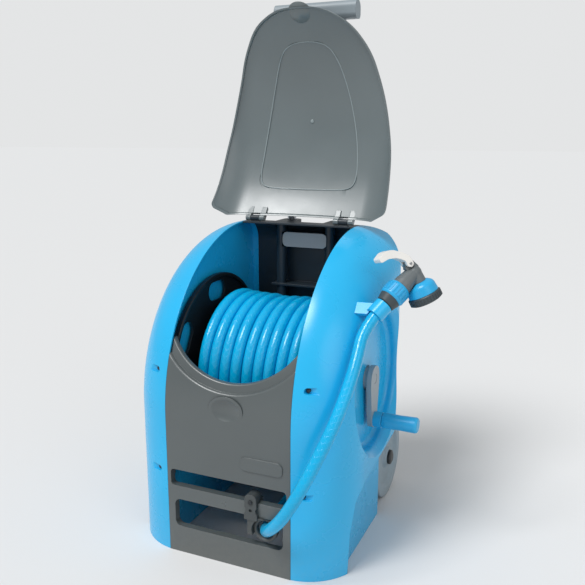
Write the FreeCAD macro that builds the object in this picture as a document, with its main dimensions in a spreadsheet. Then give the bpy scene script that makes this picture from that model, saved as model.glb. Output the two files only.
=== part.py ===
import FreeCAD, Part
import math
import os
from FreeCAD import Placement, Rotation, Vector

# Hose reel cart: two blue side shells, a grey front panel and a black rear panel round a hose reel,
# with a lid, a pull-out handle, wheels, a hose guide and a spray nozzle held in a clip.
# Millimetres. X is to the viewer's right, Y to the back, Z up. The origin is the middle of the
# front panel's foot, on the floor.

SIZES = [
    ("wall", 3.0, "moulded wall"),
    ("seam_gap", 0.4, "gap between neighbouring mouldings"),
    ("running_gap", 0.06, "radial gap of a shaft in its bearing"),
    ("sliding_gap", 0.4, "gap round a sliding piece"),
    ("half_width", 186.0, "middle of the cart to the outside of a shell"),
    ("corner_round", 90.0, "round between the front or top and the sides"),
    ("arc_radius", 270.0, "round between the front and the top, seen from the side"),
    ("arc_height", 223.0, "height where the front begins to curve back"),
    ("rear_depth", 57.0, "hinge line to the rear wall"),
    ("rear_round", 78.0, "upright round at the rear corners"),
    ("rear_top_round", 40.0, "round between the top deck and the rear wall"),
    ("foot_depth", 30.0, "depth of the front panel's foot"),
    ("seam_half", 104.0, "middle of the cart to the seam beside the front panel"),
    ("cheek_offset", 115.0, "middle of the cart to a cheek plate"),
    ("recess_wall", 130.0, "middle of the cart to the wall inside a wheel well"),
    ("recess_floor", 165.0, "middle of the cart to the shallow recess in front of a wheel"),
    ("dish_radius", 110.0, "radius of the crank dish"),
    ("dish_floor", 160.0, "middle of the cart to the floor of the crank dish"),
    ("reel_depth", 158.0, "origin to the reel axis, front to back"),
    ("reel_height", 267.0, "floor to the reel axis"),
    ("flange_radius", 147.0, "radius of the reel flanges"),
    ("flange_thick", 4.0, "thickness of a reel flange"),
    ("flange_rim", 9.0, "width of the bead round a reel flange"),
    ("winding_half", 107.5, "middle of the reel to a flange's inner face"),
    ("core_radius", 66.0, "radius of the drum core"),
    ("shaft_radius", 18.0, "radius of the drive hub's shaft"),
    ("axle_tube_radius", 15.0, "radius of the water axle"),
    ("hose_radius", 9.0, "radius of the hose"),
    ("hose_layers", 3.0, "layers of hose on the drum"),
    ("hose_turns", 9.0, "turns in the outer layer"),
    ("turn_gap", 0.6, "gap between two turns"),
    ("crank_radius", 67.0, "reel axis to the crank grip"),
    ("crank_thick", 8.0, "thickness of the crank arm"),
    ("grip_radius", 12.5, "radius of the crank grip"),
    ("grip_length", 57.5, "length of the crank grip"),
    ("spindle_radius", 4.0, "radius of the grip's spindle"),
    ("wheel_radius", 72.0, "radius of a wheel"),
    ("wheel_width", 26.0, "width of a wheel"),
    ("wheel_offset", 148.0, "middle of the cart to the middle of a wheel"),
    ("axle_depth", 297.0, "origin to the wheel axle, front to back"),
    ("axle_radius", 5.0, "radius of the wheel axle"),
    ("scoop_radius", 126.0, "radius of the scoop in the front panel"),
    ("scoop_bottom", 286.0, "floor to the bottom of the scoop"),
    ("lip_width", 20.0, "width of the thick band round the scoop"),
    ("land_width", 13.0, "width of the sunk land round the scoop"),
    ("land_depth", 5.0, "depth of the land below the panel's front"),
    ("lip_round", 3.0, "round on the lip of the scoop"),
    ("land_round", 4.5, "round on the shoulder outside the land"),
    ("slot_half", 92.0, "half length of the lower slot"),
    ("upper_slot_half", 98.0, "half length of the upper slot"),
    ("slot_bottom", 44.0, "floor to the bottom of the lower slot"),
    ("rail_bottom", 90.0, "floor to the bottom of the guide rail"),
    ("rail_top", 112.0, "floor to the top of the guide rail"),
    ("slot_top", 139.0, "floor to the top of the upper slot"),
    ("rail_thick", 12.0, "thickness of the guide rail"),
    ("eye_offset", 62.0, "middle of the cart to the guide eye"),
    ("eye_height", 70.0, "floor to the middle of the guide eye"),
    ("eye_bore", 14.0, "radius of the hole in the guide eye"),
    ("lid_wall", 3.0, "thickness of the lid"),
    ("lid_crown", 14.0, "rise of the lid above the shells' arc"),
    ("lid_open", 127.0, "degrees that the lid stands open at rest"),
    ("hinge_lift", 6.0, "top deck to the hinge pin"),
    ("hinge_offset", 82.0, "middle of the cart to a hinge"),
    ("pin_radius", 2.0, "radius of the hinge pins"),
    ("tube_offset", 46.0, "middle of the cart to a handle tube"),
    ("tube_depth", 332.0, "origin to the handle tubes, front to back"),
    ("tube_radius", 8.0, "radius of a handle tube"),
    ("tube_length", 460.5, "length of a handle tube"),
    ("handle_height", 845.0, "floor to the top of the handle tubes"),
    ("nozzle_turn", 42.0, "degrees that the nozzle's plane is turned to the right"),
    ("nozzle_tilt", 12.4, "degrees that the nozzle's plane leans back"),
    ("collar_radius", 18.0, "radius of the nozzle collar"),
]

doc = FreeCAD.newDocument("hose_reel_cart")
sheet = doc.addObject("Spreadsheet::Sheet", "Sizes")
for row, (alias, value, meaning) in enumerate(SIZES, start=1):
    sheet.set(f"A{row}", meaning)
    sheet.set(f"B{row}", str(value))
    sheet.setAlias(f"B{row}", alias)
doc.recompute()


def size(alias):
    """A driving dimension, read from the sheet."""
    return float(sheet.get(alias))


WALL = size("wall")
GAP = size("seam_gap")
RUN = size("running_gap")
SLIDE = size("sliding_gap")
HALF = size("half_width")
ROUND = size("corner_round")
ARC = size("arc_radius")
ARC_Z = size("arc_height")
FRONT_Y = -size("foot_depth") / 2
HINGE_Y = FRONT_Y + ARC
REAR_Y = HINGE_Y + size("rear_depth")
TOP_Z = ARC_Z + ARC
SEAM = size("seam_half")
REEL = Vector(0, size("reel_depth"), size("reel_height"))
HOSE = size("hose_radius")
X_AXIS = Vector(1, 0, 0)
Y_AXIS = Vector(0, 1, 0)
Z_AXIS = Vector(0, 0, 1)
SUBPARTS = []


# Helpers: each makes one object of the document


def keep(item, label):
    """Names a finished sub-part."""
    item.Label = label
    SUBPARTS.append(item)
    return item


def facing(point, direction):
    """A placement at a point whose own Z axis looks along a direction."""
    return Placement(Vector(point), Rotation(Z_AXIS, Vector(direction)))


def bar(name, radius, length, start, direction):
    """A round bar that starts at a point. Radius and length are formulas on the sheet."""
    item = doc.addObject("Part::Cylinder", name)
    item.setExpression("Radius", radius)
    item.setExpression("Height", length)
    item.Placement = facing(start, direction)
    return item


def rod(name, radius, start, end):
    """A round bar between two points."""
    way = Vector(end) - Vector(start)
    return bar(name, str(radius), str(way.Length), start, way)


def block(name, low, high):
    """A box between two opposite corners."""
    item = doc.addObject("Part::Box", name)
    item.Length = high[0] - low[0]
    item.Width = high[1] - low[1]
    item.Height = high[2] - low[2]
    item.Placement.Base = Vector(*low)
    return item


def ball(name, radius, centre):
    item = doc.addObject("Part::Sphere", name)
    item.Radius = radius
    item.Placement.Base = Vector(centre)
    return item


def fuse(name, *items):
    item = doc.addObject("Part::MultiFuse", name)
    item.Shapes = list(items)
    return item


def common(name, *items):
    item = doc.addObject("Part::MultiCommon", name)
    item.Shapes = list(items)
    return item


def cut(name, base, *tools):
    item = doc.addObject("Part::Cut", name)
    item.Base = base
    item.Tool = tools[0] if len(tools) == 1 else fuse(name + "_tools", *tools)
    return item


def group(name, *items):
    """Several loose solids of one sub-part."""
    item = doc.addObject("Part::Compound", name)
    item.Links = list(items)
    return item


def edges_of(corners):
    """A closed outline of lines with rounded corners. A corner is (x, y) or (x, y, radius)."""
    count = len(corners)
    points = [Vector(corner[0], corner[1], 0) for corner in corners]
    radii = [corner[2] if len(corner) > 2 else 0.0 for corner in corners]
    ends = []
    for index, point in enumerate(points):
        before = (points[index - 1] - point).normalize()
        after = (points[(index + 1) % count] - point).normalize()
        if radii[index] == 0:
            ends.append((point, None, point))
            continue
        half = before.getAngle(after) / 2
        reach = radii[index] / math.tan(half)
        inner = (before + after).normalize()
        middle = point + inner * (radii[index] / math.sin(half) - radii[index])
        ends.append((point + before * reach, middle, point + after * reach))
    edges = []
    for index, (first, middle, last) in enumerate(ends):
        if middle is not None:
            edges.append(Part.ArcOfCircle(first, middle, last))
        edges.append(Part.LineSegment(last, ends[(index + 1) % count][0]))
    return [edge for edge in edges if edge.length() > 1e-6]


def outline(name, corners, place):
    """A closed outline sketch on a plane."""
    item = doc.addObject("Sketcher::SketchObject", name)
    item.Placement = place
    item.addGeometry(edges_of(corners))
    return item


def extrude(name, profile, length, both_ways=False):
    """Pushes an outline out square to its plane. The length is a formula on the sheet."""
    item = doc.addObject("Part::Extrusion", name)
    item.Base = profile
    item.DirMode = "Normal"
    item.Solid = True
    item.Symmetric = both_ways
    item.setExpression("LengthFwd", length)
    return item


def revolve(name, profile, base, axis, angle):
    item = doc.addObject("Part::Revolution", name)
    item.Source = profile
    item.Base = Vector(base)
    item.Axis = Vector(axis)
    item.Angle = angle
    item.Solid = True
    return item


def origin_plane(body, role):
    return [plane for plane in body.Origin.OriginFeatures if plane.Role == role][0]


def turned(name, corners, place):
    """A turned piece: an outline of (radius, height) corners spun about its own Z axis."""
    body = doc.addObject("PartDesign::Body", name)
    profile = body.newObject("Sketcher::SketchObject", name + "_profile")
    profile.AttachmentSupport = [(origin_plane(body, "XZ_Plane"), "")]
    profile.MapMode = "FlatFace"
    profile.addGeometry(edges_of(corners))
    spin = body.newObject("PartDesign::Revolution", name + "_spin")
    spin.Profile = profile
    spin.ReferenceAxis = (profile, ["V_Axis"])
    spin.Angle = 360
    body.Placement = place
    return body


def padded(name, corners, length, place):
    """A flat piece: an outline pushed out along its own Z axis. The length is a formula."""
    body = doc.addObject("PartDesign::Body", name)
    profile = body.newObject("Sketcher::SketchObject", name + "_profile")
    profile.AttachmentSupport = [(origin_plane(body, "XY_Plane"), "")]
    profile.MapMode = "FlatFace"
    profile.addGeometry(edges_of(corners))
    pad = body.newObject("PartDesign::Pad", name + "_pad")
    pad.Profile = profile
    pad.setExpression("Length", length)
    body.Placement = place
    return body


def side_plane(x):
    """A plane across the cart: its own X is the cart's Y, its own Y is Z, and it looks along +X."""
    return Placement(Vector(x, 0, 0), Rotation(Vector(0, 1, 0), Vector(0, 0, 1), X_AXIS, "ZXY"))


def front_plane(y):
    """A plane facing the front: its own X is the cart's X, its own Y is Z, and it looks along -Y."""
    return Placement(Vector(0, y, 0), Rotation(X_AXIS, 90))


def rectangle(half, low, high, radius):
    return [(-half, low, radius), (half, low, radius), (half, high, radius), (-half, high, radius)]


# Overall form: the outside of the whole cart, or the same form moved inwards


def cart_form(name, inset):
    """The rounded outside of the cart, moved inwards by a distance."""
    wide = HALF - inset
    small = ROUND - inset
    flat = HALF - ROUND
    reach = ARC - inset
    below = 2.0 if inset > 0 else 0.0
    far = 2 * ARC
    rounded = [(-wide, 0), (-wide, reach, small), (wide, reach, small), (wide, 0)]
    arc_plane = Placement(Vector(0, HINGE_Y, ARC_Z), Rotation(X_AXIS, 180))
    shoulder = revolve(
        name + "_shoulder", outline(name + "_section", rounded, arc_plane),
        (0, HINGE_Y, ARC_Z), (-1, 0, 0), 90)
    plan = [(-wide, HINGE_Y), (-wide, HINGE_Y - reach, small), (wide, HINGE_Y - reach, small), (wide, HINGE_Y)]
    lower = extrude(
        name + "_lower", outline(name + "_plan", plan, Placement(Vector(0, 0, -below), Rotation())),
        f"Sizes.arc_height + {below}")
    section = [(-wide, -below), (-wide, ARC_Z + reach, small), (wide, ARC_Z + reach, small), (wide, -below)]
    rear = extrude(
        name + "_rear", outline(name + "_back", section, front_plane(REAR_Y - inset)),
        f"Sizes.rear_depth - {inset}")
    whole = fuse(name + "_whole", shoulder, lower, rear)
    rear_small = size("rear_round") - inset
    footprint = [
        (-wide - 5, FRONT_Y - far), (wide + 5, FRONT_Y - far), (wide + 5, flat), (wide, flat),
        (wide, REAR_Y - inset, rear_small), (-wide, REAR_Y - inset, rear_small),
        (-wide, flat), (-wide - 5, flat)]
    column = extrude(
        name + "_column", outline(name + "_footprint", footprint, Placement(Vector(0, 0, -5), Rotation())),
        f"Sizes.arc_height + Sizes.arc_radius + 10")
    trimmed = common(name + "_trimmed", whole, column)
    top_round = size("rear_top_round")
    corner = block(
        name + "_corner", (-far, REAR_Y - top_round, TOP_Z - top_round), (far, REAR_Y + 20, TOP_Z + 20))
    roll = rod(
        name + "_roll", top_round - inset, (-far, REAR_Y - top_round, TOP_Z - top_round),
        (far, REAR_Y - top_round, TOP_Z - top_round))
    return cut(name, trimmed, cut(name + "_edge", corner, roll))


outside = cart_form("outside", 0)
inside = cart_form("inside", WALL)
skin = cut("skin", outside, inside)


# Side shells: half of the skin beyond the seam, with the wheel recess and the crank dish pressed in


def recess_tool(name, grow):
    """The shallow recess in the lower side and the well for the wheel behind it, grown on every side."""
    axle_y = size("axle_depth")
    wheel = size("wheel_radius")
    corners = [
        (33 - grow, -10), (37 - grow, 63, 60), (49 - grow, 115 + grow, 26), (75, 130 + grow, 30), (135, 138 + grow, 60),
        (axle_y - 52, 2 * wheel + 6 + grow, 60), (axle_y + 110, 2 * wheel + 6 + grow), (axle_y + 110, -10)]
    shallow = outline(name + "_outline", corners, side_plane(size("recess_floor") - grow))
    well_front = axle_y - wheel - 5 - grow
    well_corners = [
        (well_front, -10), (well_front, 2 * wheel + 6 + grow, 20), (axle_y + 110, 2 * wheel + 6 + grow),
        (axle_y + 110, -10)]
    well = outline(name + "_well_outline", well_corners, side_plane(size("recess_wall") - grow))
    return fuse(
        name, extrude(name + "_shallow", shallow, "Sizes.half_width"),
        extrude(name + "_well", well, "Sizes.half_width"))


def dish_tool(name, grow):
    """The round dish in the side that the crank turns in, with a sloping rim."""
    radius = size("dish_radius") + grow
    bend = 15 - 0.414 * grow
    far = HALF - size("dish_floor") + 24
    corners = [(0, -grow), (radius, -grow, 8), (radius, bend, 12), (radius + far - bend, far), (0, far)]
    return turned(name, corners, facing((size("dish_floor"), REEL.y, REEL.z), X_AXIS))


SCREW_SPOTS = [(124.0, 292.0, 22.5), (121.0, 134.0, 12.0)]
SCREW_HEAD = 3.4
POCKET = 4.6
POCKET_LONG = 26.0
POCKET_FLOOR = 2.5


def pocket_form(name, x, z, grow, floor):
    """A long screw pocket that is open to the front, down to a floor."""
    reach = POCKET + grow
    corners = [
        (x - reach, z - reach, reach - 0.1), (x + POCKET_LONG + reach, z - reach, reach - 0.1),
        (x + POCKET_LONG + reach, z + reach, reach - 0.1), (x - reach, z + reach, reach - 0.1)]
    return extrude(name, outline(name + "_outline", corners, front_plane(floor)), "60")


shell_outer = cut("shell_outer", outside, recess_tool("recess", 0), dish_tool("dish", 0))
shell_inner = cut("shell_inner", inside, recess_tool("recess_back", WALL), dish_tool("dish_back", WALL))
half_space = block("half_space", (SEAM + GAP / 2, -300, -20), (HALF + 50, 500, 700))
pocket_cups = []
pocket_cuts = []
for number, (x, z, depth) in enumerate(SCREW_SPOTS):
    floor = FRONT_Y + depth
    pocket_cups.append(pocket_form(f"pocket_cup_{number}", x, z, 2.0, floor))
    pocket_cuts.append(pocket_form(f"pocket_{number}", x, z, 0.0, floor - POCKET_FLOOR))
    pocket_cuts.append(rod(f"pocket_hole_{number}", 2.2, (x, FRONT_Y - 20, z), (x, floor + 5, z)))
cups = common("cups", fuse("cup_set", *pocket_cups), outside)
shell_raw = common("shell_raw", fuse("shell_cupped", cut("shell_skin", shell_outer, shell_inner), cups), half_space)
shell_holes = [
    rod("hub_hole", size("shaft_radius") + 1.5, (100, REEL.y, REEL.z), (250, REEL.y, REEL.z)),
    rod("axle_hole", size("axle_radius") + 0.2, (100, size("axle_depth"), size("wheel_radius")),
        (250, size("axle_depth"), size("wheel_radius"))),
]
right_shell = keep(cut("right_shell", shell_raw, *shell_holes, *pocket_cuts), "right_shell")
left_shell = doc.addObject("Part::Mirroring", "left_shell")
left_shell.Source = right_shell
left_shell.Normal = X_AXIS
keep(left_shell, "left_shell")


# Cheeks: flat walls inside the shells, with the bearing hole and the axle hole

BUSH_RADIUS = size("shaft_radius") + 4.0
CHEEK = size("cheek_offset")
cheek_form = cart_form("cheek_form", WALL + 0.3)


def cheek(side, sign):
    low = (min(sign * CHEEK, sign * (CHEEK + WALL)), -100, 1.0)
    high = (max(sign * CHEEK, sign * (CHEEK + WALL)), 500, 700)
    plate = common(f"{side}_cheek_plate", cheek_form, block(f"{side}_cheek_slab", low, high))
    ends = (sign * (CHEEK - 10), sign * (CHEEK + 20))
    bearing = rod(
        f"{side}_cheek_bearing", BUSH_RADIUS + 0.1, (ends[0], REEL.y, REEL.z), (ends[1], REEL.y, REEL.z))
    axle = rod(
        f"{side}_cheek_axle", size("axle_radius") + 0.2, (ends[0], size("axle_depth"), size("wheel_radius")),
        (ends[1], size("axle_depth"), size("wheel_radius")))
    notches = [
        block(
            f"{side}_cheek_notch_{number}", (low[0] - 1, -100, z - 10),
            (high[0] + 1, FRONT_Y + depth + WALL + 1, z + 10))
        for number, (x, z, depth) in enumerate(SCREW_SPOTS)]
    keep(cut(f"{side}_cheek", plate, bearing, axle, *notches), f"{side}_cheek")


cheek("left", -1)
cheek("right", 1)


# Bearing bushes in the cheeks


def bush(side, sign, bore):
    corners = [
        (bore + RUN, -1.0), (BUSH_RADIUS, -1.0), (BUSH_RADIUS, WALL),
        (BUSH_RADIUS + 6, WALL), (BUSH_RADIUS + 6, WALL + 3), (bore + RUN, WALL + 3)]
    place = facing((sign * CHEEK, REEL.y, REEL.z), (sign, 0, 0))
    keep(turned(f"{side}_bush", corners, place), f"{side}_bush")


bush("left", -1, size("axle_tube_radius"))
bush("right", 1, size("shaft_radius"))


# Front panel: the skin between the seams, with scoop, sunk land, dimple, pad, slots and guide rail

PANEL = SEAM - GAP / 2
SCOOP_Z = size("scoop_bottom") + size("scoop_radius")
RAIL_LOW = size("rail_bottom")
RAIL_HIGH = size("rail_top")
panel_slab = block("panel_slab", (-PANEL, FRONT_Y - 20, 0), (PANEL, FRONT_Y + 60, SCOOP_Z - 60))
panel_skin = common("panel_skin", skin, panel_slab)
arc_line = (Vector(-PANEL, HINGE_Y, ARC_Z), Vector(PANEL, HINGE_Y, ARC_Z))
lip_zone = rod(
    "lip_zone", size("scoop_radius") + size("lip_width"), (0, FRONT_Y - 30, SCOOP_Z), (0, FRONT_Y + 80, SCOOP_Z))
lip_layer = cut("lip_layer", rod("lip_front", ARC - 0.5, *arc_line), rod("lip_back", ARC - 12, *arc_line))
panel_upper = block("panel_upper", (-PANEL, FRONT_Y - 20, ARC_Z + 5), (PANEL, FRONT_Y + 60, SCOOP_Z - 60))
lip_band = common("lip_band", lip_layer, lip_zone, panel_upper)
scoop = rod("scoop", size("scoop_radius"), (0, FRONT_Y - 30, SCOOP_Z), (0, FRONT_Y + 90, SCOOP_Z))
LAND_RADIUS = size("scoop_radius") + size("land_width")
LAND_ARC = ARC - size("land_depth")
land_zone = rod("land_zone", LAND_RADIUS, (0, FRONT_Y - 30, SCOOP_Z), (0, FRONT_Y + 80, SCOOP_Z))
land_line = (Vector(-PANEL - 20, HINGE_Y, ARC_Z), Vector(PANEL + 20, HINGE_Y, ARC_Z))
land = cut("land", land_zone, rod("land_floor", LAND_ARC, *land_line))
DIMPLE_DEEP = 5.5
DIMPLE_ROUND = 31.0


def dimple_form(name, grow):
    """The wide finger dimple under the scoop, grown on every side."""
    item = doc.addObject("Part::Ellipsoid", name)
    item.Radius1 = DIMPLE_ROUND + grow
    item.Radius2 = 1.38 * DIMPLE_ROUND + grow
    item.Radius3 = DIMPLE_ROUND + grow
    item.Placement.Base = Vector(0, FRONT_Y + DIMPLE_DEEP - DIMPLE_ROUND, size("scoop_bottom") - 37)
    return item


dimple_back = common(
    "dimple_back", dimple_form("dimple_outer", 2.5),
    block("dimple_half", (-60, FRONT_Y + 0.5, 150), (60, FRONT_Y + 30, 350)))
dimple = dimple_form("dimple", 0.0)
upper_slot = extrude(
    "upper_slot", outline("upper_slot_outline", rectangle(
        size("upper_slot_half"), RAIL_HIGH, size("slot_top"), 6), front_plane(FRONT_Y + 40)), "80")
lower_slot = extrude(
    "lower_slot", outline("lower_slot_outline", rectangle(
        size("slot_half"), size("slot_bottom"), RAIL_LOW, 10), front_plane(FRONT_Y + 40)), "80")
rail = block("rail", (-PANEL, FRONT_Y + 0.01, RAIL_LOW), (PANEL, FRONT_Y + size("rail_thick"), RAIL_HIGH))
SLOT_DEEP = 11.5
slot_walls = [
    extrude("upper_slot_wall", outline("upper_slot_wall_outline", rectangle(
        size("upper_slot_half") + WALL, RAIL_HIGH - 4, size("slot_top") + WALL, 8), front_plane(FRONT_Y + SLOT_DEEP)),
        str(SLOT_DEEP - 0.5)),
    extrude("lower_slot_wall", outline("lower_slot_wall_outline", rectangle(
        size("slot_half") + WALL, size("slot_bottom") - WALL, RAIL_LOW + 4, 12), front_plane(FRONT_Y + SLOT_DEEP)),
        str(SLOT_DEEP - 0.5))]
pad_corners = [(24, 161, 8), (92, 161, 8), (92, 182, 8), (24, 182, 8)]
blank_pad = extrude(
    "blank_pad", outline("blank_pad_outline", pad_corners, front_plane(FRONT_Y + 0.5)), "2.2")
foot = block("foot", (-PANEL, FRONT_Y + 0.01, 0), (PANEL, FRONT_Y + size("foot_depth"), WALL))
tabs = []
panel_holes = []
POST_X = PANEL - 4.8
for sign in (-1, 1):
    for number, (x, z, depth) in enumerate(SCREW_SPOTS):
        seat = FRONT_Y + depth
        ends = sorted((sign * POST_X, sign * (x + 8)))
        tabs.append(block(f"tab_{sign + 1}_{number}", (ends[0], seat, z - 9), (ends[1], seat + WALL, z + 9)))
        ends = sorted((sign * POST_X, sign * (POST_X + WALL)))
        post = block(f"tab_post_{sign + 1}_{number}", (ends[0], FRONT_Y - 5, z - 9), (ends[1], seat + WALL, z + 9))
        tabs.append(common(f"tab_root_{sign + 1}_{number}", post, outside))
        panel_holes.append(rod(
            f"tab_hole_{sign + 1}_{number}", 2.02, (sign * x, FRONT_Y, z), (sign * x, FRONT_Y + 40, z)))
panel_body = fuse("panel_body", panel_skin, lip_band, dimple_back, rail, blank_pad, foot, *slot_walls, *tabs)
panel_open = cut("panel_open", panel_body, scoop, land, dimple, upper_slot, lower_slot, *panel_holes)
doc.recompute()


def round_edge(edge, radius, reach):
    """Whether an edge of the panel lies on a circle round the scoop and on an arc round the cart."""
    points = edge.discretize(5)
    off_circle = max(abs(math.hypot(point.x, point.z - SCOOP_Z) - radius) for point in points)
    off_arc = max(abs(math.hypot(point.y - HINGE_Y, point.z - ARC_Z) - reach) for point in points)
    return max(off_circle, off_arc) < 0.05


front_panel = doc.addObject("Part::Fillet", "front_panel")
front_panel.Base = panel_open
rounds = []
for number, edge in enumerate(panel_open.Shape.Edges, start=1):
    if round_edge(edge, size("scoop_radius"), LAND_ARC):
        rounds.append((number, size("lip_round"), size("lip_round")))
    if round_edge(edge, LAND_RADIUS, ARC):
        rounds.append((number, size("land_round"), size("land_round")))
front_panel.Edges = rounds
keep(front_panel, "front_panel")

# Shell screws: a head in each shell pocket and a shank into the panel's tab

screws = []
for sign in (-1, 1):
    for number, (x, z, depth) in enumerate(SCREW_SPOTS):
        seat = FRONT_Y + depth - POCKET_FLOOR
        head = [(0, -3.0), (SCREW_HEAD, -3.0, 1.5), (SCREW_HEAD, 0), (2.0, 0), (2.0, 10.0), (0, 12.0)]
        screws.append(turned(f"shell_screw_{sign + 1}_{number}", head, facing((sign * x, seat, z), Y_AXIS)))
keep(group("shell_screws", *screws), "shell_screws")


# Rear panel: the rear wall and top deck between the seams, with hinge knuckles, posts, shelf and handle collars

TUBE = size("tube_radius")
TUBE_Y = size("tube_depth")
HINGE = Vector(0, HINGE_Y, TOP_Z + size("hinge_lift"))
KNUCKLE = 5.0
KNUCKLE_WIDE = 16.0
rear_slab = block("rear_slab", (-PANEL, HINGE_Y - 8, 12), (PANEL, REAR_Y + 5, TOP_Z + 5))
rear_skin = common("rear_skin", skin, rear_slab)
rear_extras = []
rear_holes = []
cover_z = TOP_Z - 46
COVER_Y = REAR_Y - 27
POST_Y = REAR_Y - 25
cover_room = block("cover_room", (-42.3, REAR_Y - 45, cover_z - 0.3), (42.3, REAR_Y, cover_z + 26.3))
for sign in (-1, 1):
    tube_x = sign * size("tube_offset")
    for number, (low, high) in enumerate([(TOP_Z - 38, TOP_Z - 3), (TOP_Z - 108, TOP_Z - 88)]):
        corners = [
            (tube_x - 17, REAR_Y - 20), (tube_x + 17, REAR_Y - 20),
            (tube_x + 17, TUBE_Y + 15, 13), (tube_x - 17, TUBE_Y + 15, 13)]
        sketch = outline(f"collar_{sign + 1}_{number}_outline", corners, Placement(Vector(0, 0, low), Rotation()))
        rear_extras.append(cut(
            f"collar_{sign + 1}_{number}",
            extrude(f"collar_{sign + 1}_{number}_block", sketch, str(high - low)), inside))
    rear_holes.append(rod(
        f"tube_bore_{sign + 1}", TUBE + SLIDE, (tube_x, TUBE_Y, 0), (tube_x, TUBE_Y, TOP_Z + 50)))
    post_bar = rod(f"post_bar_{sign + 1}", 9, (tube_x, POST_Y, 345), (tube_x, POST_Y, TOP_Z))
    rear_extras.append(cut(f"post_{sign + 1}", common(f"post_inside_{sign + 1}", post_bar, inside), cover_room))
    hinge_x = sign * size("hinge_offset")
    rear_extras.append(rod(
        f"knuckle_{sign + 1}", KNUCKLE, (hinge_x - KNUCKLE_WIDE / 2, HINGE.y, HINGE.z),
        (hinge_x + KNUCKLE_WIDE / 2, HINGE.y, HINGE.z)))
    rear_extras.append(block(
        f"knuckle_web_{sign + 1}", (hinge_x - KNUCKLE_WIDE / 2, HINGE.y - 3, TOP_Z - 1),
        (hinge_x + KNUCKLE_WIDE / 2, HINGE.y + 4.5, HINGE.z)))
    rear_holes.append(rod(
        f"knuckle_bore_{sign + 1}", size("pin_radius") + RUN, (hinge_x - 30, HINGE.y, HINGE.z),
        (hinge_x + 30, HINGE.y, HINGE.z)))
shelf = block("shelf", (-62, REAR_Y - 36, 376), (62, REAR_Y - WALL + 1, 380))
latch_box = common("latch_box", inside, block("latch_block", (-38, COVER_Y, cover_z + 2), (38, REAR_Y, cover_z + 24)))
keep(cut("rear_panel", fuse("rear_body", rear_skin, shelf, latch_box, *rear_extras), *rear_holes), "rear_panel")

# Latch cover: a rounded plate on the latch box inside the rear wall

keep(padded(
    "latch_cover", rectangle(42, cover_z, cover_z + 26, 9), "4",
    front_plane(COVER_Y)), "latch_cover")


# Lid: a crowned shell on the shells' arc, built shut and then swung open about the hinge

LID_TOP = ARC + size("lid_crown")
LID_WALL = size("lid_wall")
LID_BEND = 110.0
LID_CROWN_RADIUS = 900.0
LID_EDGE_RADIUS = 76.0
LID_HALF = 158.0
chord_angle = math.degrees(math.atan2(ARC - 39.0, ARC - 7.0))
chord_plane = Placement(Vector(0, HINGE_Y, TOP_Z), Rotation(X_AXIS, 180 + chord_angle))


def lid_form(name, inset):
    """The solid under the lid's outer face, moved inwards by a distance."""
    crown = LID_CROWN_RADIUS - inset
    edge = LID_EDGE_RADIUS - inset
    centre_r = LID_TOP - LID_CROWN_RADIUS
    slope = math.asin(LID_BEND / LID_CROWN_RADIUS)
    bend = Vector(crown * math.sin(slope), centre_r + crown * math.cos(slope), 0)
    turn = Vector(
        (LID_CROWN_RADIUS - LID_EDGE_RADIUS) * math.sin(slope),
        centre_r + (LID_CROWN_RADIUS - LID_EDGE_RADIUS) * math.cos(slope), 0)
    end_x = LID_HALF + 4
    end = Vector(end_x, turn.y + math.sqrt(edge ** 2 - (end_x - turn.x) ** 2), 0)
    half_way = (slope + math.asin((end_x - turn.x) / edge)) / 2
    middle = turn + Vector(edge * math.sin(half_way), edge * math.cos(half_way), 0)
    low = Vector(end_x, 150, 0)

    def flip(point):
        return Vector(-point.x, point.y, 0)

    sketch = doc.addObject("Sketcher::SketchObject", name + "_section")
    sketch.Placement = Placement(Vector(0, HINGE_Y, ARC_Z), Rotation(X_AXIS, 180))
    sketch.addGeometry([
        Part.LineSegment(flip(low), flip(end)),
        Part.ArcOfCircle(flip(end), flip(middle), flip(bend)),
        Part.ArcOfCircle(flip(bend), Vector(0, centre_r + crown, 0), bend),
        Part.ArcOfCircle(bend, middle, end),
        Part.LineSegment(end, low),
        Part.LineSegment(low, flip(low))])
    return revolve(name, sketch, (0, HINGE_Y, ARC_Z), (-1, 0, 0), 92)


def lid_corners(inset):
    """The lid's outline along the chord from hinge to tip, moved inwards by a distance."""
    right = [
        (134 - inset, 1 + inset, 8), (LID_HALF + 2 - inset, 16 + inset, 14), (152 - inset, 110, 430),
        (137 - inset, 190, 680), (114 - inset, 268 - inset / 2, 155), (84 - inset, 313 - inset / 2, 98),
        (36 - inset / 2, 339 - inset, 96)]
    return right + [(-x, along, radius) for x, along, radius in reversed(right)]


def lid_prism(name, corners):
    return extrude(name, outline(name + "_outline", corners, chord_plane), "400", both_ways=True)


lid_outer = lid_form("lid_outer", 0)
lid_under = lid_form("lid_under", LID_WALL)
lid_edge = lid_prism("lid_edge", lid_corners(0))
lid_skin = common("lid_skin", cut("lid_layer", lid_outer, lid_under), lid_edge)
lid_ring = cut("lid_ring", lid_edge, lid_prism("lid_inner_edge", lid_corners(2.5)))
lid_clear = cart_form("lid_clear", -1.5)
lid_deep = cut("lid_band", lid_outer, lid_form("lid_band_floor", 9))
lid_rim = cut("lid_rim", common("lid_rim_ring", lid_ring, lid_deep), lid_clear)
inset_right = [(93, 43, 16), (85, 130, 300), (70, 205, 150), (50, 268, 40), (26, 287, 25)]
inset_corners = inset_right + [(-x, along, radius) for x, along, radius in reversed(inset_right)]
inset_panel = common(
    "inset_panel", cut("inset_layer", lid_form("inset_top", LID_WALL - 0.8), lid_form("inset_low", LID_WALL + 2)),
    lid_prism("inset_prism", inset_corners))
dimple_angle = math.radians(74)
lid_dimple_wide = 18.0
lid_dimple_deep = 5.0
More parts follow.
